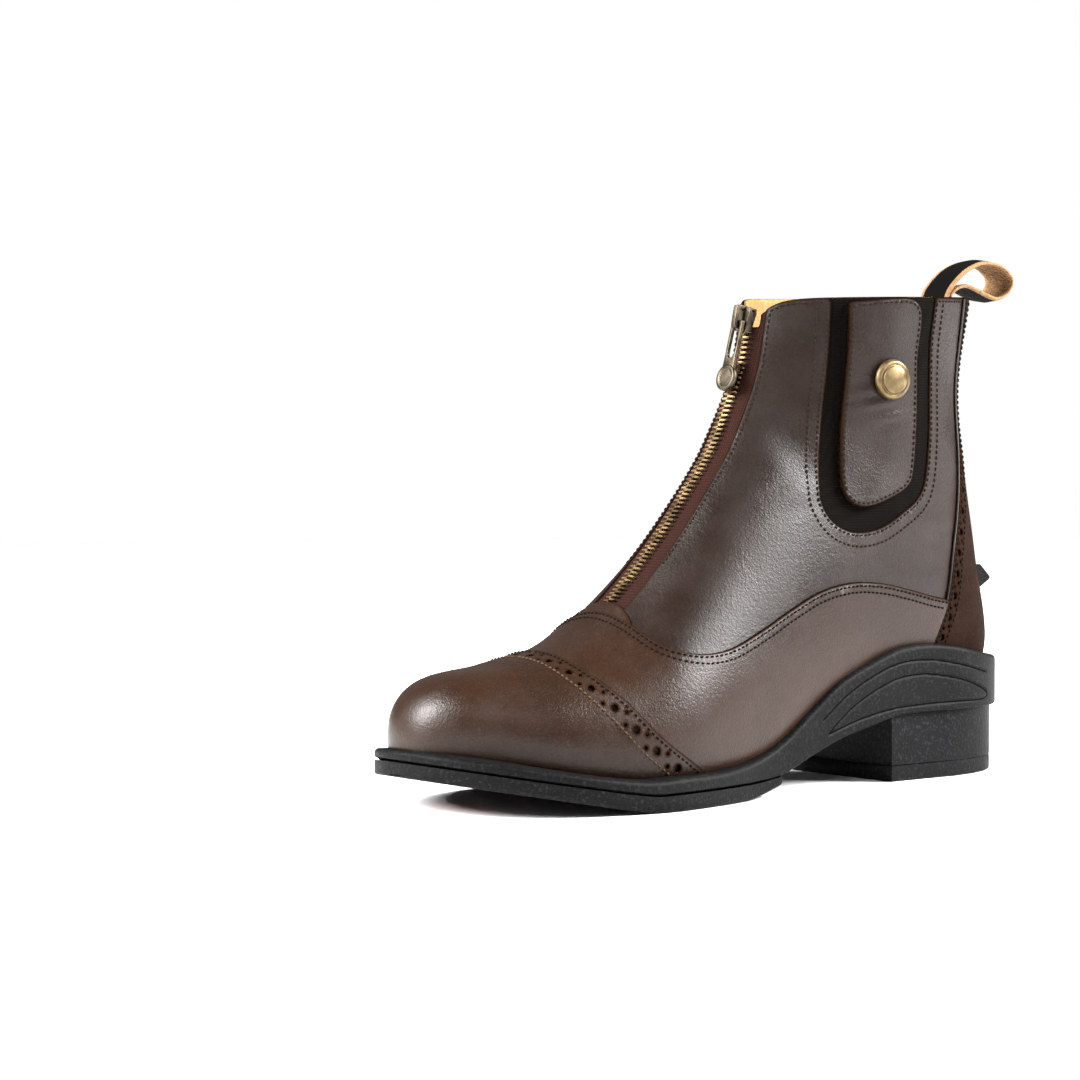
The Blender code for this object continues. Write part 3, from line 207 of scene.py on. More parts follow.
COLLAR_LINE = [  # COLLAR_HEIGHT
    (-0.10, 0.984), (0.05, 0.986), (0.18, 0.985), (0.29, 0.984), (0.36, 0.982),
    (0.388, 0.977), (0.402, 0.967), (0.413, 0.949), (0.425, 0.92), (0.45, 0.86), (0.50, 0.75)]
GORE_EDGE = [  # COLLAR_HEIGHT
    (0.338, 1.06), (0.346, 0.88), (0.354, 0.776), (0.367, 0.676), (0.376, 0.597), (0.375, 0.561),
    (0.361, 0.532), (0.334, 0.514), (0.302, 0.512), (0.270, 0.523), (0.236, 0.548),
    (0.205, 0.575), (0.189, 0.612), (0.181, 0.693), (0.180, 0.775), (0.182, 0.88), (0.188, 1.06)]
TAB_EDGE = [  # COLLAR_HEIGHT
    (0.321, 0.975), (0.324, 0.877), (0.330, 0.776), (0.340, 0.676), (0.344, 0.616),
    (0.341, 0.586), (0.328, 0.565), (0.303, 0.559), (0.269, 0.572), (0.231, 0.597),
    (0.217, 0.633), (0.212, 0.735), (0.213, 0.857), (0.216, 0.975)]
LEAF_EDGE = [  # CUP_HEIGHT
    (0.392, 0.40), (0.372, 0.48), (0.345, 0.575), (0.315, 0.655), (0.283, 0.722), (0.248, 0.770),
    (0.198, 0.780), (0.137, 0.728), (0.088, 0.650), (0.072, 0.600), (0.080, 0.560),
    (0.144, 0.562), (0.248, 0.552), (0.324, 0.494)]
ARC_LINE = [  # CUP_HEIGHT
    (0.403, 0.505), (0.353, 0.675), (0.302, 0.797), (0.255, 0.872), (0.198, 0.886),
    (0.137, 0.837), (0.074, 0.760)]
# Pull loop from the collar round and back: LOOP_REACH back from the collar,
# LOOP_RISE above it
LOOP_ROUTE = [
    (0.00, 0.00), (0.07, 0.28), (0.26, 0.66), (0.45, 0.87), (0.62, 0.94), (0.82, 0.86),
    (0.96, 0.66), (1.00, 0.42), (0.92, 0.16), (0.78, 0.03), (0.63, 0.10), (0.49, 0.22),
    (0.32, 0.34), (0.19, 0.30), (0.07, 0.13)]
BUTTON_PLACE = (0.264, 0.818)
SLIDER_PLACE = 0.938
THROAT_END = 0.684
TEETH_END = 0.664

# Mesh density of the visual model
ROW_STEP = 0.08
AROUND = 168
TOE_FINE = 20
STATIONS = 150

MM = 0.001


def spline(places, values, at):
    """Values on a smooth curve through the rows of a table."""
    places = np.asarray(places, float)
    rows = np.asarray(values, float).reshape(len(places), -1)
    at = np.clip(np.atleast_1d(np.asarray(at, float)), places[0], places[-1])
    slopes = np.gradient(rows, places, axis=0)
    low = np.clip(np.searchsorted(places, at, side="right") - 1, 0, len(places) - 2)
    step = (places[low + 1] - places[low])[:, None]
    part = (at[:, None] - places[low][:, None]) / step
    result = ((2 * part**3 - 3 * part**2 + 1) * rows[low]
              + (part**3 - 2 * part**2 + part) * step * slopes[low]
              + (3 * part**2 - 2 * part**3) * rows[low + 1]
              + (part**3 - part**2) * step * slopes[low + 1])
    return result[:, 0] if np.ndim(values) == 1 else result


def sole_column(name, at):
    """One column of the sole's table at places along the boot, as its share."""
    places = [row.at * SOLE_LENGTH for row in SOLE_ROWS]
    return spline(places, [getattr(row, name) for row in SOLE_ROWS], at)


def spring_at(along):
    """Rise of the tread's underside under the toes."""
    start = SPRING_START * SOLE_LENGTH
    share = np.clip((np.atleast_1d(along) - start) / (SOLE_LENGTH - start), 0, None)
    return TOE_SPRING * share**2 / (share + 0.08) * 1.08


def ground_at(along):
    """Underside of the forefoot's tread."""
    start = FLAT_START * SOLE_LENGTH
    tuck = np.clip((start - np.atleast_1d(along)) / (start - PLATE_START * SOLE_LENGTH), 0, 1)
    return spring_at(along) + REAR_TUCK * tuck**1.5


def under_at(along):
    """Underside of the sole unit."""
    return HEEL_SEAT * sole_column("under", along) + spring_at(along)


def seat_at(along):
    """Top of the sole unit's floor, inside the upper."""
    return under_at(along) + HEEL_SEAT * sole_column("floor", along)


def lip_at(along):
    """Edge of the sole unit on the outside of the upper."""
    return CUP_HEIGHT * sole_column("lip", along) + spring_at(along)


def section_values():
    """The upper's sections as lengths, a row for each."""
    rows = []
    for row in SECTIONS:
        back = row.back * SOLE_LENGTH
        low = seat_at(back)[0] - SEAT_SINK + row.rise * BACK_HEIGHT
        rows.append((
            row.front * SOLE_LENGTH, row.instep * INSTEP_HEIGHT + row.shaft * SHAFT_RISE,
            back, low, row.outer * BALL_WIDTH, row.inner * BALL_WIDTH,
            row.shift * BALL_WIDTH, row.widest, row.crown, row.base))
    return np.array(rows)


def section_ring(values, angles):
    """Points of one section: angle 0 is its front point, pi its back point."""
    front, high, back, low, outer, inner, shift, widest, crown, base = values
    cosine = np.cos(angles)
    sine = np.sin(angles)
    power = 2 / np.where(cosine >= 0, crown, base)
    depth = np.abs(cosine)**power
    down = np.where(cosine >= 0, widest * (1 - depth), widest + (1 - widest) * depth)
    side = np.where(sine >= 0, outer, inner)
    x = shift + np.sign(sine) * side * np.abs(sine)**power
    return np.stack([x, front + (back - front) * down, high + (low - high) * down], axis=-1)


def form_rings(marks, angles, toe_steps=0):
    """Rings of the leather form at marks on its table, after a dome over the toe."""
    table = section_values()
    rows = spline(np.arange(len(table)), table, marks)
    rings = []
    for k in range(toe_steps, 0, -1):
        first, after = spline(np.arange(len(table)), table, (0, ROW_STEP))
        slope = (after - first) / (after[0] - first[0])
        pole = np.array(TOE_POLE)
        share = math.sin(math.pi / 2 * k / toe_steps)
        reach = (pole[1] - first[0]) * share
        plan = max(1 - share**TOE_PLAN_ROUND, 0)**(1 / TOE_PLAN_ROUND)
        side = max(1 - share**TOE_SIDE_ROUND, 0)**(1 / TOE_SIDE_ROUND)
        grown = first + slope * reach
        centre = grown[6] + (pole[0] - grown[6]) * share
        values = (first[0] + reach, pole[2] + (grown[1] - pole[2]) * side,
                  first[0] + reach, pole[2] + (grown[3] - pole[2]) * side,
                  grown[4] * plan, grown[5] * plan, centre, *first[7:])
        rings.append(section_ring(values, angles))
    return np.array(rings + [section_ring(row, angles) for row in rows])


class Patch:
    """A grid of points with outward directions that sheets are cut from."""

    def __init__(self, grid, closed=True):
        self.count, self.around = grid.shape[:2]
        self.grid = grid
        self.closed = closed
        turn = np.gradient(grid, axis=1)
        if closed:
            turn = np.roll(grid, -1, axis=1) - np.roll(grid, 1, axis=1)
        out = np.cross(np.gradient(grid, axis=0), turn)
        size = np.linalg.norm(out, axis=2, keepdims=True)
        out = np.where(size > 1e-12, out / np.maximum(size, 1e-12), (0, 1, 0))
        self.points = grid.reshape(-1, 3)
        self.out = out.reshape(-1, 3)

    def quads(self):
        index = np.arange(self.count * self.around).reshape(self.count, self.around)
        a, b = index[:-1], index[1:]
        faces = np.stack([a, np.roll(a, -1, axis=1), np.roll(b, -1, axis=1), b], axis=-1)
        return (faces if self.closed else faces[:, :-1]).reshape(-1, 4)

    def line(self, line, closed=False):
        """Distance over the surface from a side-view line, at every point.

        It is positive to the left of an open line and inside a closed one.
        """
        line = np.asarray(line, float)
        ends = np.roll(line, -1, axis=0) if closed else line[1:]
        starts = line if closed else line[:-1]
        place = self.points[:, 1:]
        best = np.full(len(place), 1e9)
        sign = np.ones(len(place))
        lean = np.zeros(len(place))
        for a, b in zip(starts, ends):
            run = b - a
            share = np.clip(((place - a) @ run) / (run @ run), 0, 1)
            gap = place - (a + share[:, None] * run)
            far = np.linalg.norm(gap, axis=1)
            near = far < best
            best[near] = far[near]
            cross = run[0] * gap[near, 1] - run[1] * gap[near, 0]
            sign[near] = np.where(cross >= 0, 1, -1)
            unit = gap[near] / np.maximum(far[near], 1e-9)[:, None]
            lean[near] = (unit * self.out[near, 1:]).sum(axis=1)
        if closed:
            inside = np.zeros(len(place), bool)
            for a, b in zip(starts, ends):
                above = (a[1] > place[:, 1]) != (b[1] > place[:, 1])
                rise = b[1] - a[1] if b[1] != a[1] else 1e-12
                cross = a[0] + (place[:, 1] - a[1]) * (b[0] - a[0]) / rise
                inside ^= above & (place[:, 0] < cross)
            sign = np.where(inside, 1, -1)
        return best * sign / np.sqrt(np.maximum(1 - lean**2, 0.12))


def run_of(points):
    """Distance along a line of points from its first."""
    return np.concatenate([[0], np.cumsum(np.linalg.norm(np.diff(points, axis=0), axis=1))])


def at_run(places, run, rows):
    """Rows of values at distances along a line."""
    return np.column_stack([np.interp(places, run, column) for column in np.transpose(rows)])


# Fine grids for the punched rows: marks on the table of sections, and half turns
BAND_MARKS, BAND_TURNS = np.arange(0.6, 5.6, 0.0145), np.linspace(-0.66, 0.66, 740)
LAST_MARK = len(SECTIONS) - 1
REAR_MARKS, REAR_TURNS = np.arange(7.2, LAST_MARK, 0.012), np.linspace(0.6, 1.4, 400)
FORM = Patch(form_rings(np.arange(0, LAST_MARK + ROW_STEP / 2, ROW_STEP),
                        np.linspace(0, 2 * math.pi, AROUND, endpoint=False), TOE_FINE))
BAND = Patch(form_rings(BAND_MARKS, BAND_TURNS * math.pi), closed=False)
REAR = Patch(form_rings(REAR_MARKS, REAR_TURNS * math.pi), closed=False)
POINTS = FORM.points
OUT = FORM.out
FRONT_RUN = run_of(FORM.grid[:, 0])


def smooth_points(rows, height, count):
    """A table of shares as a smooth line of (along, z) lengths."""
    lengths = [(at * SOLE_LENGTH, high * height) for at, high in rows]
    return spline(np.arange(len(rows)), lengths, np.linspace(0, len(rows) - 1, count))


def smooth_ring(rows, height, count):
    """A closed table of shares as a smooth closed line."""
    return smooth_points([*rows, rows[0]], height, count + 1)[:-1]


def front_mark_along(share):
    """Distance along the front line, from the toe, to a place along the boot."""
    front = FORM.grid[:, 0]
    return float(np.interp(-share * SOLE_LENGTH, -front[:, 1], FRONT_RUN))


def throat_field(half, end):
    """Distance outside the zip's opening, negative in it."""
    run = np.repeat(FRONT_RUN, AROUND)
    angles = np.tile(np.arange(AROUND), FORM.count)
    front = (angles < AROUND * 0.3) | (angles > AROUND * 0.7)
    total = FRONT_RUN[-1]
    start = front_mark_along(end)
    narrow = THROAT_TAPER * np.clip((run - start) / (total - start), 0, 1)
    shift = np.repeat(FORM.grid[:, 0, 0], AROUND)
    side = np.abs(POINTS[:, 0] - shift) - (half - narrow)
    past = start - run
    outside = np.hypot(np.maximum(side, 0), np.maximum(past, 0))
    field = outside + np.minimum(np.maximum(side, past), 0)
    return np.where(front, field, 1.0)


class Sheet:
    """Part of a patch whose faces can be split along the levels of its fields."""

    def __init__(self, patch, fields, margin=0.004):
        faces = patch.quads()
        faces = faces[(fields[0][faces] > -margin).any(axis=1)]
        middle = faces[len(faces) // 2]
        corners = world(patch.points[middle])
        facing = np.cross(corners[2] - corners[0], corners[3] - corners[1])
        if facing @ (patch.out[middle[0]] * (1, -1, 1)) < 0:
            faces = faces[:, ::-1]
        self.faces = [tuple(face) for face in faces]
        self.rows = np.column_stack([patch.points, patch.out, *fields])

    def split(self, level, column=6):
        """Cut the faces that cross a level of a field."""
        value = self.rows[:, column] - level
        sign = value > 0
        made = []
        seen = {}
        result = []
        for face in self.faces:
            flags = sign[list(face)]
            if flags.all() or not flags.any():
                result.append(face)
                continue
            high, low = [], []
            for i, p in enumerate(face):
                q = face[(i + 1) % len(face)]
                (high if sign[p] else low).append(p)
                if sign[p] != sign[q]:
                    key = (min(p, q), max(p, q))
                    if key not in seen:
                        share = value[p] / (value[p] - value[q])
                        seen[key] = len(self.rows) + len(made)
                        made.append(self.rows[p] + share * (self.rows[q] - self.rows[p]))
                    high.append(seen[key])
                    low.append(seen[key])
            result += [tuple(part) for part in (high, low) if len(part) > 2]
        self.faces = result
        if made:
            self.rows = np.vstack([self.rows, made])

    def trim(self, level=0.0, column=6):
        """Drop the faces below a level of a field."""
        field = self.rows[:, column]
        self.faces = [face for face in self.faces if np.mean(field[list(face)]) > level]

    def pack(self):
        """Keep only the points in use."""
        used = sorted({i for face in self.faces for i in face})
        order = {old: new for new, old in enumerate(used)}
        self.rows = self.rows[used]
        self.faces = [tuple(order[i] for i in face) for face in self.faces]

    def build(self, name, lift, material):
        """A mesh object of the sheet, lifted off the surface, with its distance from the edge."""
        rows = self.rows
        item = new_object(name, world(rows[:, :3] + rows[:, 3:6] * np.reshape(lift, (-1, 1))),
                          self.faces, material)
        add_values(item, "edge", rows[:, 6])
        tidy_mesh(item)
        return item


def world(points):
    """Rows of (x, along, z) as positions in the part's frame."""
    points = np.asarray(points, float)
    return np.column_stack([points[:, 0], ORIGIN_ALONG - points[:, 1], points[:, 2]])


def placed(name, data):
    """An object of some data, linked into the scene."""
    item = bpy.data.objects.new(name, data)
    bpy.context.scene.collection.objects.link(item)
    return item


def new_object(name, vertices, faces, material):
    """A mesh object in the scene."""
    mesh = bpy.data.meshes.new(name)
    mesh.from_pydata([tuple(point) for point in vertices], [], [tuple(face) for face in faces])
    mesh.update()
    mesh.shade_smooth()
    mesh.materials.append(material)
    return placed(name, mesh)


def corners_of(name):
    """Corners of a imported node, in the part's frame."""
    node = frame["nodes"][name]
    return np.array([node.matrix_world @ v.co for v in node.data.vertices])


def ring_faces(rings, count, start=0):
    """Quads that join each closed ring of points to the next one."""
    return [(start + i * count + k, start + i * count + (k + 1) % count,
             start + (i + 1) * count + (k + 1) % count, start + (i + 1) * count + k)
            for i in range(rings - 1) for k in range(count)]


def add_values(item, name, values):
    """A named value for each point of a mesh, for its material."""
    store = item.data.attributes.new(name, "FLOAT", "POINT")
    store.data.foreach_set("value", np.asarray(values, np.float32))


def tidy_mesh(item, merge=1e-6, recalc=False):
    """Join doubled points; recalc also turns the faces of a closed mesh outward."""
    work = bmesh.new()
    work.from_mesh(item.data)
    bmesh.ops.remove_doubles(work, verts=work.verts, dist=merge)
    if recalc:
        bmesh.ops.recalc_face_normals(work, faces=work.faces)
    work.to_mesh(item.data)
    work.free()


def closed_object(name, vertices, faces, material, merge=1e-6, **values):
    """A closed mesh object with named values for its points, its faces turned outward."""
    item = new_object(name, vertices, faces, material)
    for key, column in values.items():
        add_values(item, key, column)
    tidy_mesh(item, merge, True)
    return item


def panel(name, field, base, thick, material, edge=0.8 * MM, patch=None, cut=None, swell=None):
    """A leather panel on a patch: its edge is rounded down to the base.

    A cut trims it square where a second field is negative, as under a neighbour.
    """
    sheet = Sheet(patch or FORM, [field] if cut is None else [field, cut])
    if cut is not None:
        sheet.split(0, 7)
        sheet.trim(0, 7)
    for level in (0, 0.12 * edge, 0.4 * edge, edge):
        sheet.split(level)
        if level == 0:
            sheet.trim()
    sheet.pack()
    depth = np.clip(sheet.rows[:, 6] / edge, 0, 1)
    lift = base + thick * np.sqrt(1 - (1 - depth)**2)
    if swell is not None:
        lift += swell(sheet.rows) * depth
    return sheet.build(name, lift, material)


def contour(field, level):
    """Lines over the form on which a field has a value: points and outward directions."""
    value = (field - level).reshape(FORM.count, AROUND)
    value = np.where(value == 0, 1e-9, value)
    links = {}
    spots = {}
    index = np.arange(value.size).reshape(value.shape)

    def spot(p, q):
        key = (min(p, q), max(p, q))
        if key not in spots:
            a, b = value.flat[p], value.flat[q]
            share = a / (a - b)
            spots[key] = (POINTS[p] + share * (POINTS[q] - POINTS[p]),
                          OUT[p] + share * (OUT[q] - OUT[p]))
        return key

    after = np.roll(value, -1, axis=1)
    low = np.minimum.reduce([value[:-1], after[:-1], value[1:], after[1:]])
    high = np.maximum.reduce([value[:-1], after[:-1], value[1:], after[1:]])
    for i, j in zip(*np.nonzero((low < 0) & (high > 0))):
        n = (j + 1) % AROUND
        loop = [index[i, j], index[i, n], index[i + 1, n], index[i + 1, j]]
        keys = [spot(p, q) for p, q in zip(loop, loop[1:] + loop[:1])
                if value.flat[p] * value.flat[q] < 0]
        if len(keys) == 2:
            links.setdefault(keys[0], []).append(keys[1])
            links.setdefault(keys[1], []).append(keys[0])
    lines = []
    left = set(links)
    while left:
        ends = [key for key in left if len(links[key]) == 1]
        here = min(ends) if ends else min(left)
        line = []
        while here is not None:
            left.discard(here)
            line.append(here)
            here = next((key for key in links[here] if key in left), None)
        if len(line) > 4:
            closed = line[0] in links[line[-1]] and len(line) > 8
            if closed:
                line.append(line[0])
            lines.append((np.array([spots[key][0] for key in line]),
                          np.array([spots[key][1] for key in line])))
    return lines


def even(line, pitch):
    """Places at an even pitch along a line, with outward and forward directions."""
    points, out = line
    run = run_of(points)
    at = pitch * (np.arange(int(run[-1] / pitch)) + 0.5)
    place = at_run(at, run, points)
    side = at_run(at, run, out)
    side /= np.linalg.norm(side, axis=1)[:, None]
    step = 0.4 * pitch
    forward = at_run(at + step, run, points) - at_run(at - step, run, points)
    forward /= np.maximum(np.linalg.norm(forward, axis=1), 1e-9)[:, None]
    return place, side, forward


STITCH_PITCH = 2.2 * MM
STITCH_SHARE = 0.33
THREAD = 0.40 * MM


def stitch_row(store, field, level, lift, keep=None):
    """Add a row of stitches on a contour; keep says which places have one."""
    for line in contour(field, level):
        for p, n, t in zip(*even(line, STITCH_PITCH)):
            if keep is None or keep(p):
                store.append((p + n * lift, n, t, STITCH_SHARE * STITCH_PITCH))


def stitch_mesh(name, store, material):
    """All stitches of one thread as one mesh."""
    sides = 6
    profile = [(-1.0, 0.25), (-0.72, 0.85), (0.0, 1.0), (0.72, 0.85), (1.0, 0.25)]
    vertices = []
    faces = []
    for place, out, run, half in store:
        across = np.cross(out, run)
        across /= max(np.linalg.norm(across), 1e-9)
        base = len(vertices)
        for along, width in profile:
            for k in range(sides):
                turn = 2 * math.pi * k / sides
                vertices.append(place + run * along * half
                                + across * THREAD * width * math.cos(turn)
                                + out * THREAD * width * (0.35 + 0.9 * math.sin(turn)))
        faces += ring_faces(len(profile), sides, base)
        faces.append(tuple(base + k for k in range(sides))[::-1])
        faces.append(tuple(base + (len(profile) - 1) * sides + k for k in range(sides)))
    body_piece(closed_object(name, world(vertices), faces, material, 1e-9))


def toe_share(along):
    """How far into the toe's rounding, from none to all of it."""
    start = TOE_ROUND_START * SOLE_LENGTH
    return np.clip((along - start) / (SOLE_LENGTH - start), 0, 1)


def narrowed(share):
    """Share of the width that a rounded end leaves."""
    return (1 - share**OUTLINE_ROUND)**(1 / OUTLINE_ROUND)


def outward_of(ring):
    """Outward directions of a closed plan outline."""
    run = np.roll(ring, -1, axis=0) - np.roll(ring, 1, axis=0)
    run /= np.linalg.norm(run, axis=1)[:, None]
    return np.stack([run[:, 1], -run[:, 0]], axis=-1)


def outline_ring(inset=0.0, steps=None):
    """Closed plan outline of the sole, moved in: outer side forward, inner side back."""
    steps = np.linspace(0, math.pi, STATIONS + 1) if steps is None else steps
    along = -HEEL_FLARE + (SOLE_LENGTH + HEEL_FLARE) * (1 - np.cos(steps)) / 2
    heel = np.clip(1 - (along + HEEL_FLARE) / (HEEL_ROUND_SHARE * SOLE_LENGTH), 0, 1)
    toe = toe_share(along)
    shift = -TOE_SHIFT * toe
    outer = shift + BALL_WIDTH * sole_column("outer", along) * narrowed(heel) * narrowed(toe)
    inner = shift - BALL_WIDTH * sole_column("inner", along) * narrowed(heel) * narrowed(toe)
    ring = np.concatenate([
        np.stack([outer, along], axis=-1), np.stack([inner, along], axis=-1)[-2:0:-1]])
    return ring - np.asarray(inset).reshape(-1, 1) * outward_of(ring)


def sharp_mesh(item, degrees):
    """Smooth shading with sharp edges above an angle."""
    item.data.shade_smooth()
    item.data.set_sharp_from_angle(angle=math.radians(degrees))
    return item


class Shade:
    """A small helper that builds one Principled material node by node."""

    def __init__(self, name, colour, roughness, metallic=0.0):
        self.material = bpy.data.materials.new(name)
        self.material.use_nodes = True
        self.tree = self.material.node_tree
        self.shader = self.tree.nodes["Principled BSDF"]
        self.set("Base Color", (*colour, 1.0))
        self.set("Roughness", roughness)
        self.set("Metallic", metallic)
        self.place = self.node("ShaderNodeTexCoord").outputs["Object"]
        self.height = None

    def set(self, socket, value):
        self.shader.inputs[socket].default_value = value

    def node(self, kind, **values):
        made = self.tree.nodes.new(kind)
        for key, value in values.items():
            if key in made.inputs:
                made.inputs[key].default_value = value
            else:
                setattr(made, key, value)
        return made

    def link(self, source, target):
        self.tree.links.new(source, target)

    def texture(self, kind, socket, scale, **values):
        made = self.node(kind, Scale=scale, **values)
        self.link(self.place, made.inputs["Vector"])
        return made.outputs[socket]

    def noise(self, scale, detail=4.0, rough=0.55):
        return self.texture("ShaderNodeTexNoise", "Fac", scale, Detail=detail, Roughness=rough)

    def cells(self, scale):
        return self.texture("ShaderNodeTexVoronoi", "Distance", scale, feature="SMOOTH_F1")

    def waves(self, scale, axis):
        return self.texture("ShaderNodeTexWave", "Fac", scale, bands_direction=axis)

    def field(self, name="edge"):
        made = self.node("ShaderNodeAttribute")
        made.attribute_name = name
        return made.outputs["Fac"]

    def range(self, source, low, high, new_low, new_high):
        made = self.node("ShaderNodeMapRange", interpolation_type="SMOOTHSTEP")
        for key, value in (("From Min", low), ("From Max", high),
                           ("To Min", new_low), ("To Max", new_high)):
            made.inputs[key].default_value = value
        self.link(source, made.inputs["Value"])
        return made.outputs["Result"]

    def math(self, operation, first, second):
        made = self.node("ShaderNodeMath", operation=operation)
        for slot, value in zip(made.inputs, (first, second)):
            if isinstance(value, (int, float)):
                slot.default_value = value
            else:
                self.link(value, slot)
        return made.outputs["Value"]

    def mix(self, share, first, second):
        made = self.node("ShaderNodeMix", data_type="RGBA")
        slots = (made.inputs[0], made.inputs[6], made.inputs[7])
        for slot, value in zip(slots, (share, first, second)):
            if isinstance(value, (int, float)):
                slot.default_value = value
            elif isinstance(value, tuple):
                slot.default_value = (*value, 1.0)
            else:
                self.link(value, slot)
        return made.outputs[2]

    def drive(self, socket, source):
        self.link(source, self.shader.inputs[socket])

    def colour(self, source):
        self.drive("Base Color", source)

    def rough(self, source):
        self.drive("Roughness", source)

    def bump(self, source, distance, strength=1.0):
        made = self.node("ShaderNodeBump", Strength=strength, Distance=distance)
        self.link(source, made.inputs["Height"])
        if self.height is not None:
            self.link(self.height, made.inputs["Normal"])
        self.height = made.outputs["Normal"]
        self.drive("Normal", self.height)


SHEEN = 0.24


def dimmed(colour, share):
    """A colour made darker, or lighter with a share above one."""
    return tuple(share * c for c in colour)


def leather(name, dark, light, roughness, coat, grain, sheen=SHEEN):
    """Brown leather: pebble grain, soft mottling and slightly darker cut edges; the same darkening paints
    shade on the walls of the punched holes.
    """
    shade = Shade(name, dark, roughness)
    shade.set("Coat Weight", coat)
    shade.set("Coat Roughness", 0.22)
    large = shade.noise(22.0, 3.0)
    fine = shade.noise(260.0, 3.0)
    tone = shade.mix(shade.range(large, 0.35, 0.68, 0.0, 1.0), dark, light)
    tone = shade.mix(shade.range(fine, 0.3, 0.75, 0.0, 0.35), tone, dimmed(dark, 0.75))
    # Near black within a third of a millimetre of each edge: dyed cut edges, and painted shade where the
    # edge is the wall of a punched hole
    edge = shade.range(shade.field(), 0.06 * MM, 0.34 * MM, 1.0, 0.0)
    tone = shade.mix(edge, tone, dimmed(dark, 0.15))
    gloss = shade.range(shade.noise(70.0, 4.0), 0.3, 0.7, roughness - 0.05, roughness + 0.07)
    shade.rough(shade.math("MAXIMUM", gloss, shade.range(shade.field(), 0.3 * MM, 1.4 * MM, 0.9, 0.0)))
    shade.drive("Specular IOR Level", shade.range(shade.field(), 0.3 * MM, 1.5 * MM, 0.0, sheen))
    pores = shade.noise(1700.0, 2.0, 0.6)
    tone = shade.mix(shade.range(pores, 0.48, 0.66, 0.0, 0.6), tone, dimmed(light, 1.8))
    scuff = shade.range(shade.noise(520.0, 2.0, 0.4), 0.70, 0.76, 0.0, 0.5)
    pale = sum(light) / 3
    shade.colour(shade.mix(scuff, tone, tuple(1.2 * c + 1.2 * pale for c in light)))
    shade.bump(shade.cells(grain), 0.14 * MM, 0.5)
    shade.bump(pores, 0.16 * MM, 0.8)
    shade.bump(shade.noise(300.0, 6.0, 0.65), 0.20 * MM, 0.3)
    return shade.material


def rubber(name, colour, stipple=0.5):
    """Moulded rubber: fine stipple with painted glints on its peaks, dull dust, and painted shade, near
    black, at the bottom of its grooves.
    """
    shade = Shade(name, colour, 0.55)
    shade.set("Specular IOR Level", 0.07)
    speck = shade.noise(850.0, 3.0, 0.7)
    dust = shade.range(shade.noise(45.0, 5.0), 0.40, 0.75, 0.0, 0.6)
    tone = shade.mix(dust, colour, dimmed(colour, 1.9))
    # The stipple's raised peaks are coloured up to seven times lighter: painted glints
    tone = shade.mix(shade.range(speck, 0.54, 0.64, 0.0, 0.9), tone, dimmed(colour, 7.0))
    # Painted shade: the bottoms of the grooves and tread channels are coloured near black
    groove = shade.range(shade.field("groove"), 0.25, 0.8, 0.0, 1.0)
    shade.colour(shade.mix(groove, tone, dimmed(colour, 0.15)))
    smooth = shade.range(shade.field("leaf"), 0.3 * MM, 0.7 * MM, 1.0, 0.15)
    shade.rough(shade.range(groove, 0.0, 1.0, 0.55, 0.95))
    shade.bump(shade.math("MULTIPLY", speck, smooth), 0.6 * MM, stipple)
    return shade.material


def thread(name, colour):
    """Waxed thread with a little twist."""
    shade = Shade(name, colour, 0.8)
    shade.set("Specular IOR Level", 0.05)
    shade.colour(shade.mix(shade.noise(2600.0, 2.0), dimmed(colour, 0.6), dimmed(colour, 1.4)))
    return shade.material


def metal(name, colour, roughness):
    """Antique brass: brown in its low places, worn bright on top."""
    shade = Shade(name, colour, roughness, 1.0)
    patina = shade.range(shade.noise(180.0, 5.0), 0.35, 0.68, 0.0, 1.0)
    shade.colour(shade.mix(patina, dimmed(colour, 0.45), colour))
    shade.rough(shade.range(shade.noise(90.0), 0.3, 0.7, roughness, roughness + 0.2))
    return shade.material


def cloth(name, colour, scale, roughness=0.85):
    """Plain woven cloth."""
    shade = Shade(name, colour, roughness)
    shade.set("Specular IOR Level", 0.04)
    weave = shade.math("MULTIPLY", shade.waves(scale, "X"), shade.waves(scale, "Z"))
    shade.colour(shade.mix(shade.range(weave, 0.0, 0.8, 0.0, 0.7), colour,
                           dimmed(colour, 2.0)))
    shade.bump(weave, 0.25 * MM, 0.6)
    return shade.material


def webbing(name, colour, trim):
    """Ribbed webbing: its own colour outside, a tan inner face and tan selvedges."""
    shade = Shade(name, colour, 0.85)
    shade.set("Specular IOR Level", 0.04)
    fleck = shade.range(shade.noise(900.0, 2.0), 0.4, 0.6, 0.55, 1.0)
    tan = shade.mix(fleck, dimmed(trim, 0.4), trim)
    selvedge = shade.range(shade.field(), 1.5 * MM, 1.9 * MM, 1.0, 0.0)
    inner = shade.range(shade.field("face"), -0.2 * MM, 0.0, 0.75, 0.0)
    shade.colour(shade.mix(shade.math("MAXIMUM", selvedge, inner), colour, tan))
    shade.bump(shade.noise(1400.0, 2.0), 0.2 * MM, 0.5)
    return shade.material


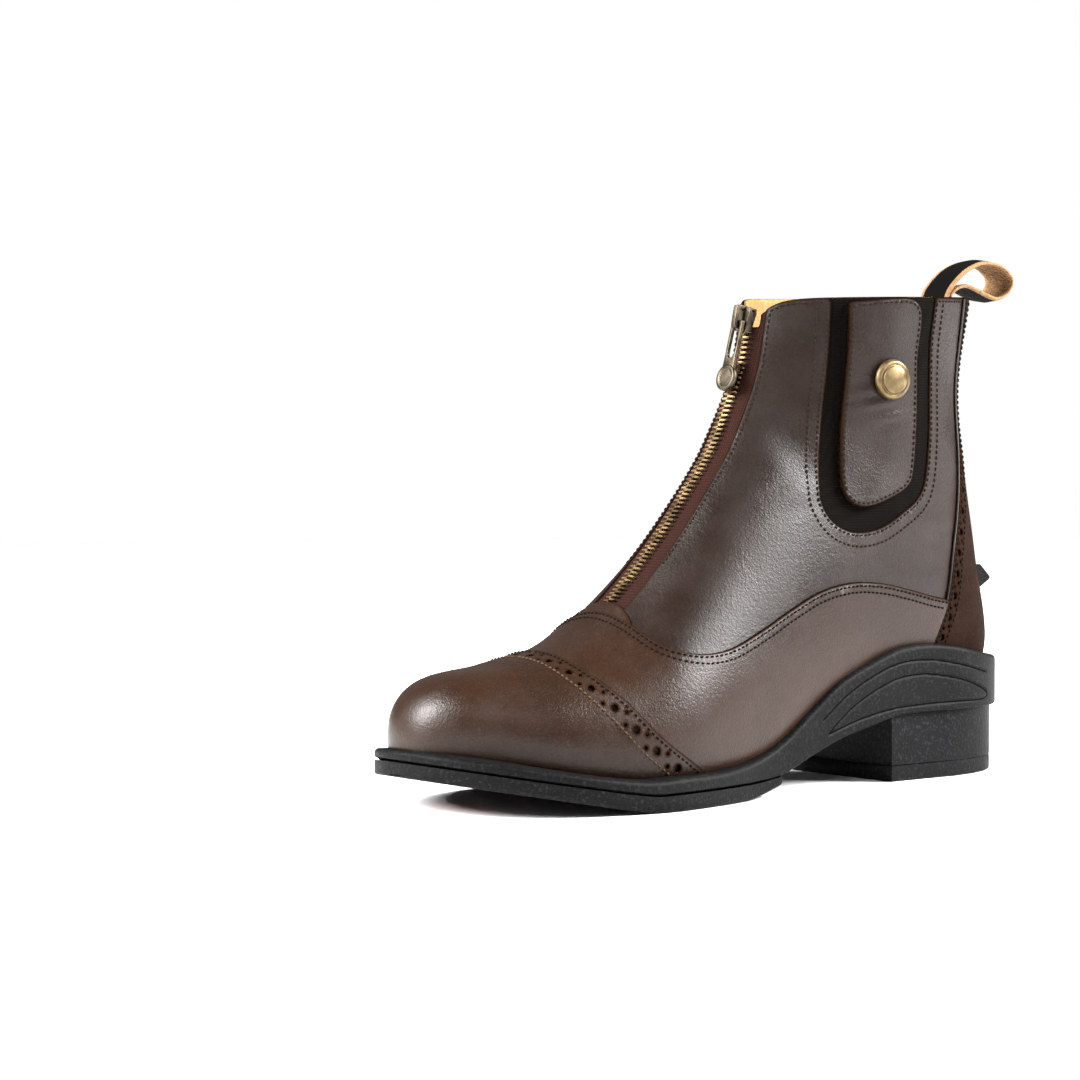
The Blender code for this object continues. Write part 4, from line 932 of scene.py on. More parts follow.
UPPER_LEATHER = leather("upper_leather", (0.0060, 0.0028, 0.0016), (0.0105, 0.0050, 0.0030),
                        0.38, 0.0, 900.0)
STRIP_LEATHER = leather("strip_leather", (0.0075, 0.0035, 0.0020), (0.0125, 0.0060, 0.0036),
                        0.75, 0.0, 900.0, 0.02)
VAMP_LEATHER = leather("vamp_leather", (0.0105, 0.0040, 0.0016), (0.0165, 0.0068, 0.0030),
                       0.35, 0.03, 1000.0)
SOLE_RUBBER = rubber("sole_rubber", (0.0016, 0.0016, 0.0017))
HEEL_RUBBER = rubber("heel_rubber", (0.0021, 0.0021, 0.0023), 0.5)
TREAD_RUBBER = rubber("tread_rubber", (0.0018, 0.0018, 0.0019), 0.6)
RED_RUBBER = rubber("red_rubber", (0.30, 0.008, 0.008), 0.1)
LINING = leather("lining_leather", (0.27, 0.145, 0.050), (0.36, 0.205, 0.080), 0.7, 0.0, 500.0)
FOOTBED = leather("footbed_leather", (0.22, 0.13, 0.07), (0.30, 0.18, 0.10), 0.7, 0.0, 500.0)
ELASTIC = cloth("elastic_cloth", (0.0017, 0.0012, 0.0009), 300.0, 0.95)
TAPE = cloth("tape_cloth", (0.017, 0.0066, 0.0048), 320.0)
BRASS = metal("antique_brass", (0.21, 0.15, 0.075), 0.36)
PULL_BRASS = metal("pull_brass", (0.080, 0.064, 0.045), 0.33)
GOLD = metal("teeth_brass", (0.33, 0.23, 0.12), 0.36)
WEB = webbing("webbing_cloth", (0.0022, 0.0020, 0.0018), (0.26, 0.15, 0.075))
THREAD_CLOTH = thread("thread", (0.016, 0.0095, 0.0065))
# Near-black cloth under the punched holes: painted shade in the holes, also the underlay's colour
BLACK_CLOTH = Shade("shade_backing_cloth", (0.004, 0.003, 0.003), 0.9).material
BLACK_LEATHER = Shade("piping_leather", (0.012, 0.008, 0.007), 0.45).material
DARK_THREAD = thread("dark_thread", (0.004, 0.003, 0.0025))
CAP_THREAD = thread("cap_thread", (0.060, 0.038, 0.022))

RIM = [*smooth_points(COLLAR_LINE, COLLAR_HEIGHT, 60), (2 * SOLE_LENGTH, 0.75 * COLLAR_HEIGHT)]


def lip_gap(patch):
    """Height above the sole's lip, less what a panel tucks into it."""
    return patch.points[:, 2] - lip_at(patch.points[:, 1]) + 3 * MM


def cap_back(patch):
    return patch.line(smooth_points(CAP_EDGE, INSTEP_HEIGHT, 50))


def strip_inside(patch):
    return -patch.line(smooth_points(BACKSTRIP_EDGE, COLLAR_HEIGHT, 50))


# Fields over the leather form, one for each panel edge
LIP_GAP = lip_gap(FORM)
BELOW_COLLAR = -FORM.line(RIM)
SEAM = FORM.line(smooth_points(VAMP_SEAM, INSTEP_HEIGHT, 90))
CAP_BACK = cap_back(FORM)
STRIP = strip_inside(FORM)
GORE = FORM.line(smooth_ring(GORE_EDGE, COLLAR_HEIGHT, 90), closed=True)
TAB = FORM.line(smooth_ring(TAB_EDGE, COLLAR_HEIGHT, 80), closed=True)
THROAT = throat_field(THROAT_HALF, THROAT_END)
SIDE = np.sign(POINTS[:, 0])


def form_tree():
    """The leather form as a tree for ray casts."""
    return BVHTree.FromPolygons(world(POINTS).tolist(), FORM.quads().tolist())


FORM_TREE = form_tree()


# Materials that share one slot of the record's finishes
SLOTS = {
    "leather": ("upper_leather", "strip_leather", "piping_leather", "thread", "dark_thread",
                "cap_thread"),
    "vamp_leather": ("vamp_leather",),
    "footbed": ("lining_leather", "footbed_leather"),
    "elastic": ("elastic_cloth", "shade_backing_cloth"),
    "tape_cloth": ("tape_cloth",),
    "webbing": ("webbing_cloth",),
    "antique_brass": ("antique_brass", "pull_brass", "teeth_brass"),
    "rubber": ("sole_rubber", "heel_rubber", "tread_rubber"),
}
SLOT_OF = {material: slot for slot, materials in SLOTS.items() for material in materials}


def body_piece(item, *nodes, body="boot"):
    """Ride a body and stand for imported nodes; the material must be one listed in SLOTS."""
    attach(item, body)
    SLOT_OF[item.data.materials[0].name.split(".")[0]]
    if nodes:
        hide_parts(*nodes)
    return item


def make_upper():
    """The leather wall: its outside, and the tan lining inside."""
    field = np.minimum.reduce([BELOW_COLLAR, THROAT, -GORE, LIP_GAP + 6 * MM])
    shell = panel("upper_leather", field, -0.5 * WALL, 0.5 * WALL, UPPER_LEATHER, swell=ankle_creases)
    body_piece(shell, "upper")
    inside = np.minimum.reduce([BELOW_COLLAR, THROAT, LIP_GAP + 12 * MM])
    lining = panel("lining", inside, -0.5 * WALL, -0.5 * WALL, LINING)
    body_piece(lining)


HOLE_LARGE = 1.2 * MM
HOLE_SMALL = 0.5 * MM
BAND_WIDTH = 9.2 * MM
STRIP_BAND = 7.0 * MM
# Rows of holes: distance in from the edge, pitch, and spread of the small pairs
CAP_HOLES = (5.5 * MM, 10.8 * MM, 1.9 * MM)
STRIP_HOLES = (3.7 * MM, 8.6 * MM, 1.3 * MM)


def punched(patch, field, level, pitch, spread, keep):
    """Distance from the rims of a row of punched holes: large ones with pairs between."""
    centres, sizes = [], []
    for line in contour(field, level):
        place, side, forward = even(line, pitch / 2)
        for k, (p, n, t) in enumerate(zip(place, side, forward)):
            if not keep(p):
                continue
            if k % 2 == 0:
                centres.append(p)
                sizes.append(HOLE_LARGE)
            else:
                across = np.cross(n, t)
                for way in (1, -1):
                    centres.append(p + way * (across * spread + t * 0.7 * spread))
                    sizes.append(HOLE_SMALL)
    result = np.full(len(patch.points), 1.0)
    for centre, size in zip(centres, sizes):
        near = np.abs(patch.points - centre).max(axis=1) < 4 * MM
        gap = np.linalg.norm(patch.points[near] - centre, axis=1) - size
        result[near] = np.minimum(result[near], gap)
    return result


def make_panels():
    """Vamp, toe cap and backstrip, with the rows of punched holes."""
    lift = GAP
    thick = OVERLAY
    vamp = np.minimum.reduce([SEAM, -CAP_BACK + 4 * MM, -STRIP + 1 * MM, LIP_GAP])
    body_piece(panel("vamp_panel", vamp, lift, thick, VAMP_LEATHER), "vamp")
    body_piece(panel("cap_panel", LIP_GAP, lift + 0.6 * thick, 0.9 * thick, VAMP_LEATHER,
                     cut=CAP_BACK - BAND_WIDTH - 0.6 * MM), "toe_cap")
    behind = cap_back(BAND)
    holes = punched(BAND, CAP_BACK, *CAP_HOLES, lambda p: p[2] > lip_at(p[1])[0] + 1 * MM)
    field = np.minimum.reduce([behind, lip_gap(BAND), holes])
    body_piece(panel("cap_band", field, lift + 0.6 * thick, 0.9 * thick, VAMP_LEATHER, 0.32 * MM, BAND,
                     cut=BAND_WIDTH + 1.0 * MM - behind))
    strip = np.minimum.reduce([BELOW_COLLAR, LIP_GAP])
    body_piece(panel("strip_panel", strip, lift, thick, STRIP_LEATHER,
                     cut=STRIP - STRIP_BAND - 0.3 * MM), "backstrip")
    behind = strip_inside(REAR)
    holes = punched(REAR, STRIP, *STRIP_HOLES,
                    lambda p: 0.26 * COLLAR_HEIGHT < p[2] < 0.68 * COLLAR_HEIGHT)
    field = np.minimum.reduce([behind, -REAR.line(RIM), lip_gap(REAR), holes])
    body_piece(panel("strip_band", field, lift, thick, STRIP_LEATHER, 0.32 * MM, REAR,
                     cut=STRIP_BAND + 0.7 * MM - behind))
    # A near-black sheet under the punched rows: painted shade seen through the holes, also standing for the
    # underlay beneath them
    under_cap = np.minimum(CAP_BACK, 9 * MM - CAP_BACK)
    under_strip = np.minimum(STRIP, 7 * MM - STRIP)
    shade_backing = np.minimum.reduce([np.maximum(under_cap, under_strip), LIP_GAP,
                                 BELOW_COLLAR - 1 * MM])
    body_piece(panel("hole_shade_backing", shade_backing - 1 * MM, 0.1 * MM, 0.2 * MM, BLACK_CLOTH))
    body_piece(tube("piping", contour(STRIP, 0.2 * MM), 0.55 * MM, GAP + 0.4 * MM, BLACK_LEATHER,
                    lambda p: lip_at(p[1])[0] - 2 * MM < p[2] < 0.985 * COLLAR_HEIGHT))


def tube(name, lines, radius, lift, material, keep, sides=8):
    """A round cord laid along lines over the form."""
    vertices, faces = [], []
    for line in lines:
        place, side, forward = even(line, 1.5 * MM)
        kept = [i for i, p in enumerate(place) if keep(p)]
        for i in kept:
            across = np.cross(side[i], forward[i])
            base = len(vertices)
            for k in range(sides):
                turn = 2 * math.pi * k / sides
                vertices.append(place[i] + side[i] * (lift + radius * math.sin(turn))
                                + across * radius * math.cos(turn))
            if i - 1 in kept:
                faces += ring_faces(2, sides, base - sides)
    return closed_object(name, world(vertices), faces, material, 1e-9)


# Middle of the ripples on the tab, as shares, and their depth
RIPPLE_PLACE = (0.268, 0.755)
RIPPLE_DEPTH = 0.38 * MM


def tab_creases(rows):
    """Soft ripples under the snap button."""
    drop = rows[:, 2] - RIPPLE_PLACE[1] * COLLAR_HEIGHT
    off = rows[:, 1] - RIPPLE_PLACE[0] * SOLE_LENGTH
    fade = np.exp(-(drop / (9 * MM))**2 - (off / (14 * MM))**2)
    return RIPPLE_DEPTH * fade * np.sin(drop * 1050 + 140 * off + 60 * rows[:, 1]) * (rows[:, 0] > 0)


# Ankle folds: place and height as shares, slope, length and depth in millimetres
ANKLE_FOLDS = ((0.42, 0.62, -0.5, 15, 0.35), (0.40, 0.57, -0.35, 18, 0.30),
               (0.16, 0.50, 0.15, 13, 0.35), (0.17, 0.44, 0.05, 15, 0.25))
FOLD_WIDTH = 2.2 * MM


def ankle_creases(rows):
    """Shallow folds where the shaft bends over the instep and behind the ankle."""
    lift = np.zeros(len(rows))
    for at, high, lean, reach, depth in ANKLE_FOLDS:
        along = rows[:, 1] - at * SOLE_LENGTH
        across = rows[:, 2] - high * COLLAR_HEIGHT - lean * along
        lift -= depth * MM * np.exp(-(along / (reach * MM))**2 - (across / FOLD_WIDTH)**2)
    return lift


def make_gores():
    """Elastic in the gore windows and the leather tabs over it."""
    for name, side in (("outer", 1), ("inner", -1)):
        here = np.where(SIDE == side, 1.0, -1.0)
        elastic = np.minimum.reduce([GORE + 2 * MM, BELOW_COLLAR - 0.4 * MM, here])
        body_piece(panel(f"elastic_{name}", elastic, -1.6 * MM, 0.9 * MM, ELASTIC), f"gore_{name}")
        tab = np.minimum.reduce([TAB, BELOW_COLLAR, here])
        body_piece(panel(f"tab_panel_{name}", tab, -0.6 * MM, TAB_THICK + 0.9 * MM, UPPER_LEATHER,
                         swell=tab_creases), f"tab_{name}")


def make_tape():
    """The zip's cloth tape."""
    beside = np.abs(POINTS[:, 0]) - SLIDER_WIDTH / 2 - 0.6 * MM
    clear = np.maximum(beside, 0.925 * COLLAR_HEIGHT - POINTS[:, 2])
    field = np.minimum.reduce([-throat_field(THROAT_HALF + 2 * MM, THROAT_END - 0.01),
                               BELOW_COLLAR, clear])
    body_piece(panel("tape", field, -TAPE_SINK - TAPE_THICK, TAPE_THICK, TAPE), "zip_tape")


FRONT = FORM.grid[:, 0]
FRONT_OUT = FORM.out.reshape(FORM.grid.shape)[:, 0]
SLIDER_RUN = float(np.interp(SLIDER_PLACE * COLLAR_HEIGHT, FRONT[:, 2], FRONT_RUN))
TOOTH_PITCH = 2.0 * MM
TOOTH_OFFSET = 1.45 * MM
TOOTH_SIZE = (3.5 * MM, 0.95 * MM, 1.7 * MM)


def front_at(run):
    """Place, outward and upward directions on the front line, in the part's frame."""
    place, out, ahead = (world([[np.interp(run + step, FRONT_RUN, rows[:, k]) for k in range(3)]])[0]
                         for step, rows in ((0, FRONT), (0, FRONT_OUT), (MM, FRONT)))
    out = Vector((0, out[1] - ORIGIN_ALONG, out[2])).normalized()
    up = Vector(ahead - place)
    up = (up - out * up.dot(out)).normalized()
    return Vector(place), out, up


def frame_of(place, out, up):
    """A matrix with columns across, up and outward."""
    turn = Matrix((up.cross(out), up, out)).transposed().to_4x4()
    turn.translation = place
    return turn


def stamped(name, template, frames, material):
    """Copies of one small bmesh at many frames, as one mesh."""
    points = np.array([[*v.co, 1.0] for v in template.verts])
    loops = [[v.index for v in face.verts] for face in template.faces]
    vertices, faces = [], []
    for spot in frames:
        base = len(vertices)
        vertices += list((points @ np.array(spot).T)[:, :3])
        faces += [[base + i for i in loop] for loop in loops]
    template.free()
    item = new_object(name, vertices, faces, material)
    return sharp_mesh(item, 40)


def make_teeth():
    """Interlocked brass teeth from the vamp up to the slider."""
    work = bmesh.new()
    bmesh.ops.create_cube(work, size=1, matrix=Matrix.Diagonal((*TOOTH_SIZE, 1)))
    for vertex in work.verts:
        if vertex.co.x > 0:
            vertex.co.y *= 0.62
            vertex.co.z *= 0.8
    bmesh.ops.bevel(work, geom=work.edges[:], offset=0.22 * MM, segments=2, affect="EDGES")
    start = front_mark_along(TEETH_END)
    end = SLIDER_RUN + 2 * MM
    frames = []
    for k in range(int((end - start) / (TOOTH_PITCH / 2))):
        place, out, up = front_at(start + k * TOOTH_PITCH / 2)
        spot = frame_of(place + out * (TEETH_THICK / 2 - TAPE_SINK), out, up)
        way = 1 if k % 2 else -1
        turned = Matrix.Diagonal((way, way, 1, 1))
        frames.append(spot @ Matrix.Translation((way * TOOTH_OFFSET, 0, 0)) @ turned)
    body_piece(stamped("teeth", work, frames, GOLD), "zip_teeth")


def plate(name, outlines, half, bevel, place, material, detail=3):
    """A flat piece with rounded edges from (x, y) outlines, holes after the first."""
    data = bpy.data.curves.new(name, "CURVE")
    data.dimensions = "2D"
    data.fill_mode = "BOTH"
    data.extrude = half - bevel
    data.bevel_depth = bevel
    data.bevel_resolution = detail
    data.offset = -bevel
    for outline in outlines:
        line = data.splines.new("POLY")
        line.points.add(len(outline) - 1)
        for point, (x, y) in zip(line.points, outline):
            point.co = (x, y, 0, 1)
        line.use_cyclic_u = True
    shape = placed(name, data)
    graph = bpy.context.evaluated_depsgraph_get()
    mesh = bpy.data.meshes.new_from_object(shape.evaluated_get(graph))
    bpy.data.objects.remove(shape)
    mesh.transform(place)
    mesh.name = name
    mesh.materials.clear()
    mesh.materials.append(material)
    item = placed(name, mesh)
    tidy_mesh(item, 1e-6, True)
    return sharp_mesh(item, 40)


def lathe(name, profile, place, material, steps=56):
    """A turned piece from (radius, height) points round its own Z."""
    vertices = []
    for radius, height in profile:
        for k in range(steps):
            turn = 2 * math.pi * k / steps
            vertices.append(place @ Vector((radius * math.cos(turn), radius * math.sin(turn), height)))
    faces = ring_faces(len(profile), steps)
    return sharp_mesh(closed_object(name, vertices, faces, material), 50)


def arc_points(centre, radius, start, end, count):
    """Points on an arc, angles in turns of pi."""
    return [(centre[0] + radius * math.cos(a), centre[1] + radius * math.sin(a))
            for a in np.linspace(start, end, count) * math.pi]


def joined(name, items):
    """One object from several."""
    with bpy.context.temp_override(active_object=items[0], selected_editable_objects=items):
        bpy.ops.object.join()
    items[0].name = name
    items[0].data.name = name
    return items[0]


def make_slider():
    """The slider's two plates, its post and the bridge that holds the pull."""
    place, out, up = front_at(SLIDER_RUN)
    base = GAP - TAPE_SINK
    spot = frame_of(place + out * base, out, up)
    w, h = SLIDER_WIDTH / 2, SLIDER_LENGTH / 2
    shield = [(-0.72 * w, -h), (0.72 * w, -h), (0.8 * w, -0.3 * h), (w, 0.35 * h), (0.96 * w, 0.8 * h),
              *arc_points((0, 0.6 * h), 0.4 * h, 0.25, 0.75, 5), (-0.96 * w, 0.8 * h), (-w, 0.35 * h),
              (-0.8 * w, -0.3 * h)]
    pieces = []
    for level in (0.5 * MM, SLIDER_THICK - 0.6 * MM):
        pieces.append(plate("slider_plate", [shield], 0.6 * MM, 0.25 * MM,
                            spot @ Matrix.Translation((0, 0, level)), PULL_BRASS))
    for way in (-1, 1):
        flange = [(way * 0.72 * w, -h), (way * 0.94 * w, 0.5 * h), (way * 0.7 * w, 0.5 * h),
                  (way * 0.5 * w, -h)]
        pieces.append(plate("slider_flange", [flange], SLIDER_THICK / 2, 0.15 * MM,
                            spot @ Matrix.Translation((0, 0, SLIDER_THICK / 2)), PULL_BRASS))
    outer, inner = BRIDGE_LENGTH / 2, BRIDGE_INSIDE / 2
    window = SLIDER_THICK + BRIDGE_WINDOW
    arch = [(-outer, SLIDER_THICK / 2), (-inner, SLIDER_THICK / 2), (-inner, window - 0.5 * MM),
            (-inner + 0.5 * MM, window), (inner - 0.5 * MM, window), (inner, window - 0.5 * MM),
            (inner, SLIDER_THICK / 2), (outer, SLIDER_THICK / 2), (outer, window - 0.1 * MM),
            (0.9 * outer, window + 0.85 * BRIDGE_THICK), (0.6 * outer, window + BRIDGE_THICK),
            (-0.6 * outer, window + BRIDGE_THICK), (-0.9 * outer, window + 0.85 * BRIDGE_THICK),
            (-outer, window - 0.1 * MM)]
    side = Matrix(((0, 0, 1, 0), (1, 0, 0, 0), (0, 1, 0, 0), (0, 0, 0, 1)))
    pieces.append(plate("slider_bridge", [arch], BRIDGE_WIDTH / 2, 0.35 * MM, spot @ side, PULL_BRASS))
    body_piece(joined("slider", pieces), "zip_slider")


def make_pull():
    """The pull: a slotted tab with a round plain disc at its end."""
    pivot = Vector(frame["joints"][0]["pos_m"])
    corners = corners_of("zip_pull")
    reach = np.linalg.norm(corners - np.array(pivot), axis=1)
    hang = Vector(corners[reach > 0.9 * reach.max()].mean(axis=0)) - pivot
    up = Vector((0, -hang.y, -hang.z)).normalized()
    out = Vector((1, 0, 0)).cross(up)
    spot = frame_of(pivot, out, up)
    bar, half = PULL_THICK / 2, PULL_WIDTH / 2
    centre = -(PULL_LENGTH - bar - PULL_DISC_RADIUS)
    meet = math.acos(half / PULL_DISC_RADIUS) / math.pi
    neck = centre + PULL_DISC_RADIUS * math.sin(meet * math.pi)
    outer = [*arc_points((-half + bar, 0), bar, 1.0, 0.5, 5),
             *arc_points((half - bar, 0), bar, 0.5, 0.0, 5),
             (half, 0.4 * neck), (half * 0.94, 0.75 * neck),
             *arc_points((0, centre), PULL_DISC_RADIUS, meet, -1 - meet, 41),
             (-half * 0.94, 0.75 * neck), (-half, 0.4 * neck)]
    inner = PULL_SLOT / 2
    slot_end = -bar - PULL_SLOT_LENGTH + inner
    slot = [*arc_points((-inner + 0.8 * MM, -bar - 0.8 * MM), 0.8 * MM, 1.0, 0.5, 5),
            *arc_points((inner - 0.8 * MM, -bar - 0.8 * MM), 0.8 * MM, 0.5, 0.0, 5),
            *arc_points((0, slot_end), inner, 0.0, -1.0, 15)]
    tab = plate("pull_tab", [outer, slot], PULL_THICK / 2, 0.35 * MM, spot, PULL_BRASS)
    r, t = PULL_DISC_RADIUS, PULL_THICK / 2
    rim = [(0, t - 0.10 * MM), (0.5 * r, t - 0.05 * MM), (0.60 * r, t - 0.05 * MM),
           (0.66 * r, t + 0.22 * MM), (0.72 * r, t + 0.34 * MM), (0.90 * r, t + 0.34 * MM),
           (0.98 * r, t + 0.12 * MM), (r, t - 0.3 * MM)]
    ring = rim + [(radius, -height) for radius, height in rim[::-1]]
    disc = lathe("pull_disc", ring, spot @ Matrix.Translation((0, centre, 0)), PULL_BRASS)
    item = joined("pull", [tab, disc])
    body_piece(item, "zip_pull", body="pull")


def side_hit(place, height):
    """A point on the outer side of the leather form and its outward direction."""
    start = Vector((CLEAR_SIDE, ORIGIN_ALONG - place * SOLE_LENGTH, height * COLLAR_HEIGHT))
    point, normal = FORM_TREE.ray_cast(start, Vector((-1, 0, 0)))[:2]
    return point, normal if normal.x > 0 else -normal


def make_button():
    """The domed snap button with its rolled rim."""
    point, normal = side_hit(*BUTTON_PLACE)
    turn = normal.to_track_quat("Z", "Y").to_matrix().to_4x4()
    turn.translation = point + normal * (3 * GAP + TAB_THICK)
    r = BUTTON_RADIUS
    top = BUTTON_RIM + BUTTON_DOME
    dome = [(0.70 * r * math.sin(a), top - 1.5 * MM * (1 - math.cos(a))) for a in np.linspace(0, 1.45, 12)]
    profile = [*dome, (0.70 * r, top - 1.75 * MM), (0.735 * r, top - 1.9 * MM), (0.77 * r, top - 1.75 * MM),
               (0.84 * r, top - 1.62 * MM), (0.92 * r, top - 2.0 * MM), (0.98 * r, top - 2.8 * MM),
               (r, top - 3.5 * MM), (0.985 * r, BUTTON_RIM * 0.55), (0.93 * r, 0.1 * MM),
               (0.8 * r, -0.3 * MM)]
    body_piece(lathe("button", profile, turn, BRASS, 72), "snap_button")


def back_at(height, offset, side):
    """Place along the boot of the form's back, at a height and a distance to one side."""
    grid = (FORM.points + offset * FORM.out).reshape(FORM.grid.shape)
    places = []
    for ring in grid[-FORM.count // 2:]:
        half = ring[AROUND // 4:AROUND // 2 + 1][::-1]
        places.append([np.interp(side, half[:, 0], half[:, k]) for k in (2, 1)])
    places = np.array(places)
    return float(np.interp(height, places[:, 0], places[:, 1]))


LOOP_STEPS = 360
LOOP_SIDES = 44
RIB_PITCH = 1.1 * MM
RIB_DEPTH = 0.10  # of the webbing's thickness
WEB_SAG = 0.9 * MM


def make_loop():
    """The webbing pull loop, black outside with tan woven edges."""
    hem = LOOP_HEM * COLLAR_HEIGHT
    behind = [(back_at(z, -WALL, WEB_WIDTH / 2) + WEB_THICK / 2 + 2 * GAP, z)
              for z in (hem - LOOP_TAIL, hem - LOOP_TAIL / 2, hem - WEB_THICK)]
    ahead = [(place + WEB_THICK + GAP, z) for place, z in behind]
    start = ahead[-1][0]
    route = [(start - at * LOOP_REACH, hem + high * LOOP_RISE) for at, high in LOOP_ROUTE]
    rows = [*ahead, *route, *behind[::-1]]
    line = spline(np.arange(len(rows)), rows, np.linspace(0, len(rows) - 1, LOOP_STEPS))
    run = np.gradient(line, axis=0)
    run /= np.linalg.norm(run, axis=1)[:, None]
    side = np.stack([run[:, 1], -run[:, 0]], axis=-1)
    length = run_of(line)
    turn = np.linspace(0, 2 * math.pi, LOOP_SIDES, endpoint=False)
    across = np.sign(np.cos(turn)) * np.abs(np.cos(turn))**0.28 * WEB_WIDTH / 2
    deep = np.sign(np.sin(turn)) * np.abs(np.sin(turn))**0.45 * WEB_THICK / 2
    rib = 1 + RIB_DEPTH * np.sin(2 * math.pi * length / RIB_PITCH)
    sag = WEB_SAG * np.cos(math.pi * across / WEB_WIDTH)**2
    vertices, marks = [], []
    for k in range(len(line)):
        thick = deep * rib[k] + sag * math.sin(math.pi * k / len(line))
        spots = line[k] + side[k] * thick[:, None]
        vertices += [(x, *spot) for x, spot in zip(across, spots)]
        marks += [(WEB_WIDTH / 2 - abs(x), d) for x, d in zip(across, deep)]
    count = len(turn)
    faces = ring_faces(len(line), count)
    faces += [tuple(range(count)), tuple(range(len(vertices) - count, len(vertices)))]
    edge, face = zip(*marks)
    body_piece(closed_object("loop_webbing", world(vertices), faces, WEB, 1e-7, edge=edge, face=face),
               "pull_loop")


INSOLE_ROWS = 70
INSOLE_COLUMNS = 33
INSOLE_EASE = 0.6 * MM
INSOLE_GAP = 1.2 * MM
INSOLE_RIM = 1.2 * MM
INSOLE_SHEET = 2 * MM


def make_insole():
    """The footbed: a soft sheet that dips under heel and ball and rises at its rim."""
    corners = corners_of("insole")
    low, high = corners[:, 1].min() + INSOLE_EASE, corners[:, 1].max() - INSOLE_EASE
    rows = 0.5 - 0.5 * np.cos(np.linspace(0.03, 0.97, INSOLE_ROWS) * math.pi)
    places = low + (high - low) * rows
    vertices = []
    count = INSOLE_COLUMNS
    for y in places:
        along = ORIGIN_ALONG - y
        seat = seat_at(along)[0]
        middle = Vector((0, y, seat + 1.5 * MM))
        hits = [FORM_TREE.ray_cast(middle, Vector((way, 0, 0)))[0] for way in (-1, 1)]
        edges = [hit.x if hit is not None else 0.0 for hit in hits]
        left, right = edges[0] + WALL + INSOLE_GAP, edges[1] - WALL - INSOLE_GAP
        for k in range(count):
            share = -1 + 2 * k / (count - 1)
            x = (left + right) / 2 + share * (right - left) / 2
            rise = INSOLE_RIM * abs(share)**4
            end = max(0.0, 1 - min(y - low, high - y) / (12 * MM))
            vertices.append((x, along, seat + INSOLE_THICK + rise * (1 - end) + 0.8 * MM * end**2 + GAP))
    top = len(vertices)
    vertices += [(x, along, z - INSOLE_SHEET) for x, along, z in vertices]
    faces = []
    for i in range(len(places) - 1):
        for k in range(count - 1):
            quad = (i * count + k, i * count + k + 1, (i + 1) * count + k + 1, (i + 1) * count + k)
            faces += [quad, tuple(top + v for v in quad)[::-1]]
    rim = [*range(count)] + [i * count + count - 1 for i in range(1, len(places))]
    rim += [(len(places) - 1) * count + k for k in range(count - 2, -1, -1)]
    rim += [i * count for i in range(len(places) - 2, 0, -1)]
    for a, b in zip(rim, rim[1:] + rim[:1]):
        faces.append((a, b, top + b, top + a))
    body_piece(closed_object("footbed", world(vertices), faces, FOOTBED, 1e-7), "insole")


# Rows of stitches: distance from the edge that each one follows
SEAM_ROWS = (1.5 * MM, 3.9 * MM)
CAP_ROW = 1.8 * MM
GORE_ROWS = (1.4 * MM, 5.6 * MM)
TAB_ROW = 1.6 * MM
THROAT_ROW = 1.7 * MM
STRIP_ROWS = (1.5 * MM, 6.4 * MM)
# Where the collar's row of stitches stops before and behind the gore
GORE_FRONT = 0.348 * SOLE_LENGTH
GORE_BACK = 0.178 * SOLE_LENGTH
# Rows of stitches stop below the collar at these heights
GORE_TOP = 0.972 * COLLAR_HEIGHT
STRIP_TOP = 0.975 * COLLAR_HEIGHT


def strip_front(height):
    """Place of the backstrip's front edge along the boot, at a height."""
    rows = smooth_points(BACKSTRIP_EDGE, COLLAR_HEIGHT, 50)[::-1]
    return np.interp(height, rows[:, 1], rows[:, 0])


def make_stitches():
    """Rows of stitches along the panel edges."""
    brown, dark, tan = [], [], []
    top = GAP + OVERLAY
    high = GAP + 1.5 * OVERLAY

    def above_lip(p):
        return p[2] > lip_at(p[1])[0] + 0.3 * MM

    def ahead_of_strip(p):
        return p[2] > 0.03 and p[1] > strip_front(p[2]) + 0.8 * MM

    def off_gore(p):
        behind = strip_front(p[2]) + MM < p[1] < GORE_BACK
        return p[2] > 0.45 * COLLAR_HEIGHT and (p[1] > GORE_FRONT or behind)

    for level in SEAM_ROWS:
        stitch_row(dark, SEAM, level, top, ahead_of_strip)
    stitch_row(dark, CAP_BACK, CAP_ROW, high, above_lip)
    stitch_row(tan, CAP_BACK, BAND_WIDTH, high, above_lip)
    for level in GORE_ROWS:
        stitch_row(brown, -GORE, level, 0.0, lambda p: p[2] < GORE_TOP)
    stitch_row(brown, np.minimum(TAB, BELOW_COLLAR), TAB_ROW, TAB_THICK + 0.3 * MM)
    stitch_row(brown, np.minimum(THROAT, BELOW_COLLAR), THROAT_ROW, 0.0, off_gore)
    for level in STRIP_ROWS:
        stitch_row(dark, STRIP, level, top, lambda p: lip_at(p[1])[0] < p[2] < STRIP_TOP)
    stitch_mesh("stitches", brown, THREAD_CLOTH)
    stitch_mesh("stitches_dark", dark, DARK_THREAD)
    stitch_mesh("stitches_cap", tan, CAP_THREAD)


def make_stay():
    """The creased leather piece that closes the zip's lower end above the vamp."""
    bow = 6.5 * MM * (1 - (POINTS[:, 0] / (21 * MM)) ** 2)
    field = np.minimum.reduce([SEAM + bow, 2 * MM - SEAM, POINTS[:, 2] - 0.5 * INSTEP_HEIGHT])

    def creases(rows):
        return 0.15 * MM * np.sin(rows[:, 0] * 420 - rows[:, 1] * 900)

    body_piece(panel("throat_stay", field, 0.1 * MM, 0.8 * MM, VAMP_LEATHER, 1.2 * MM, swell=creases))


HEEL_STEPS = 370
TOE_STEPS = 130
WALL_LEVELS = 46
BEAD = 1.9 * MM
GROOVE_DEEP = 0.95 * MM
GROOVE_HALF = 0.62 * MM


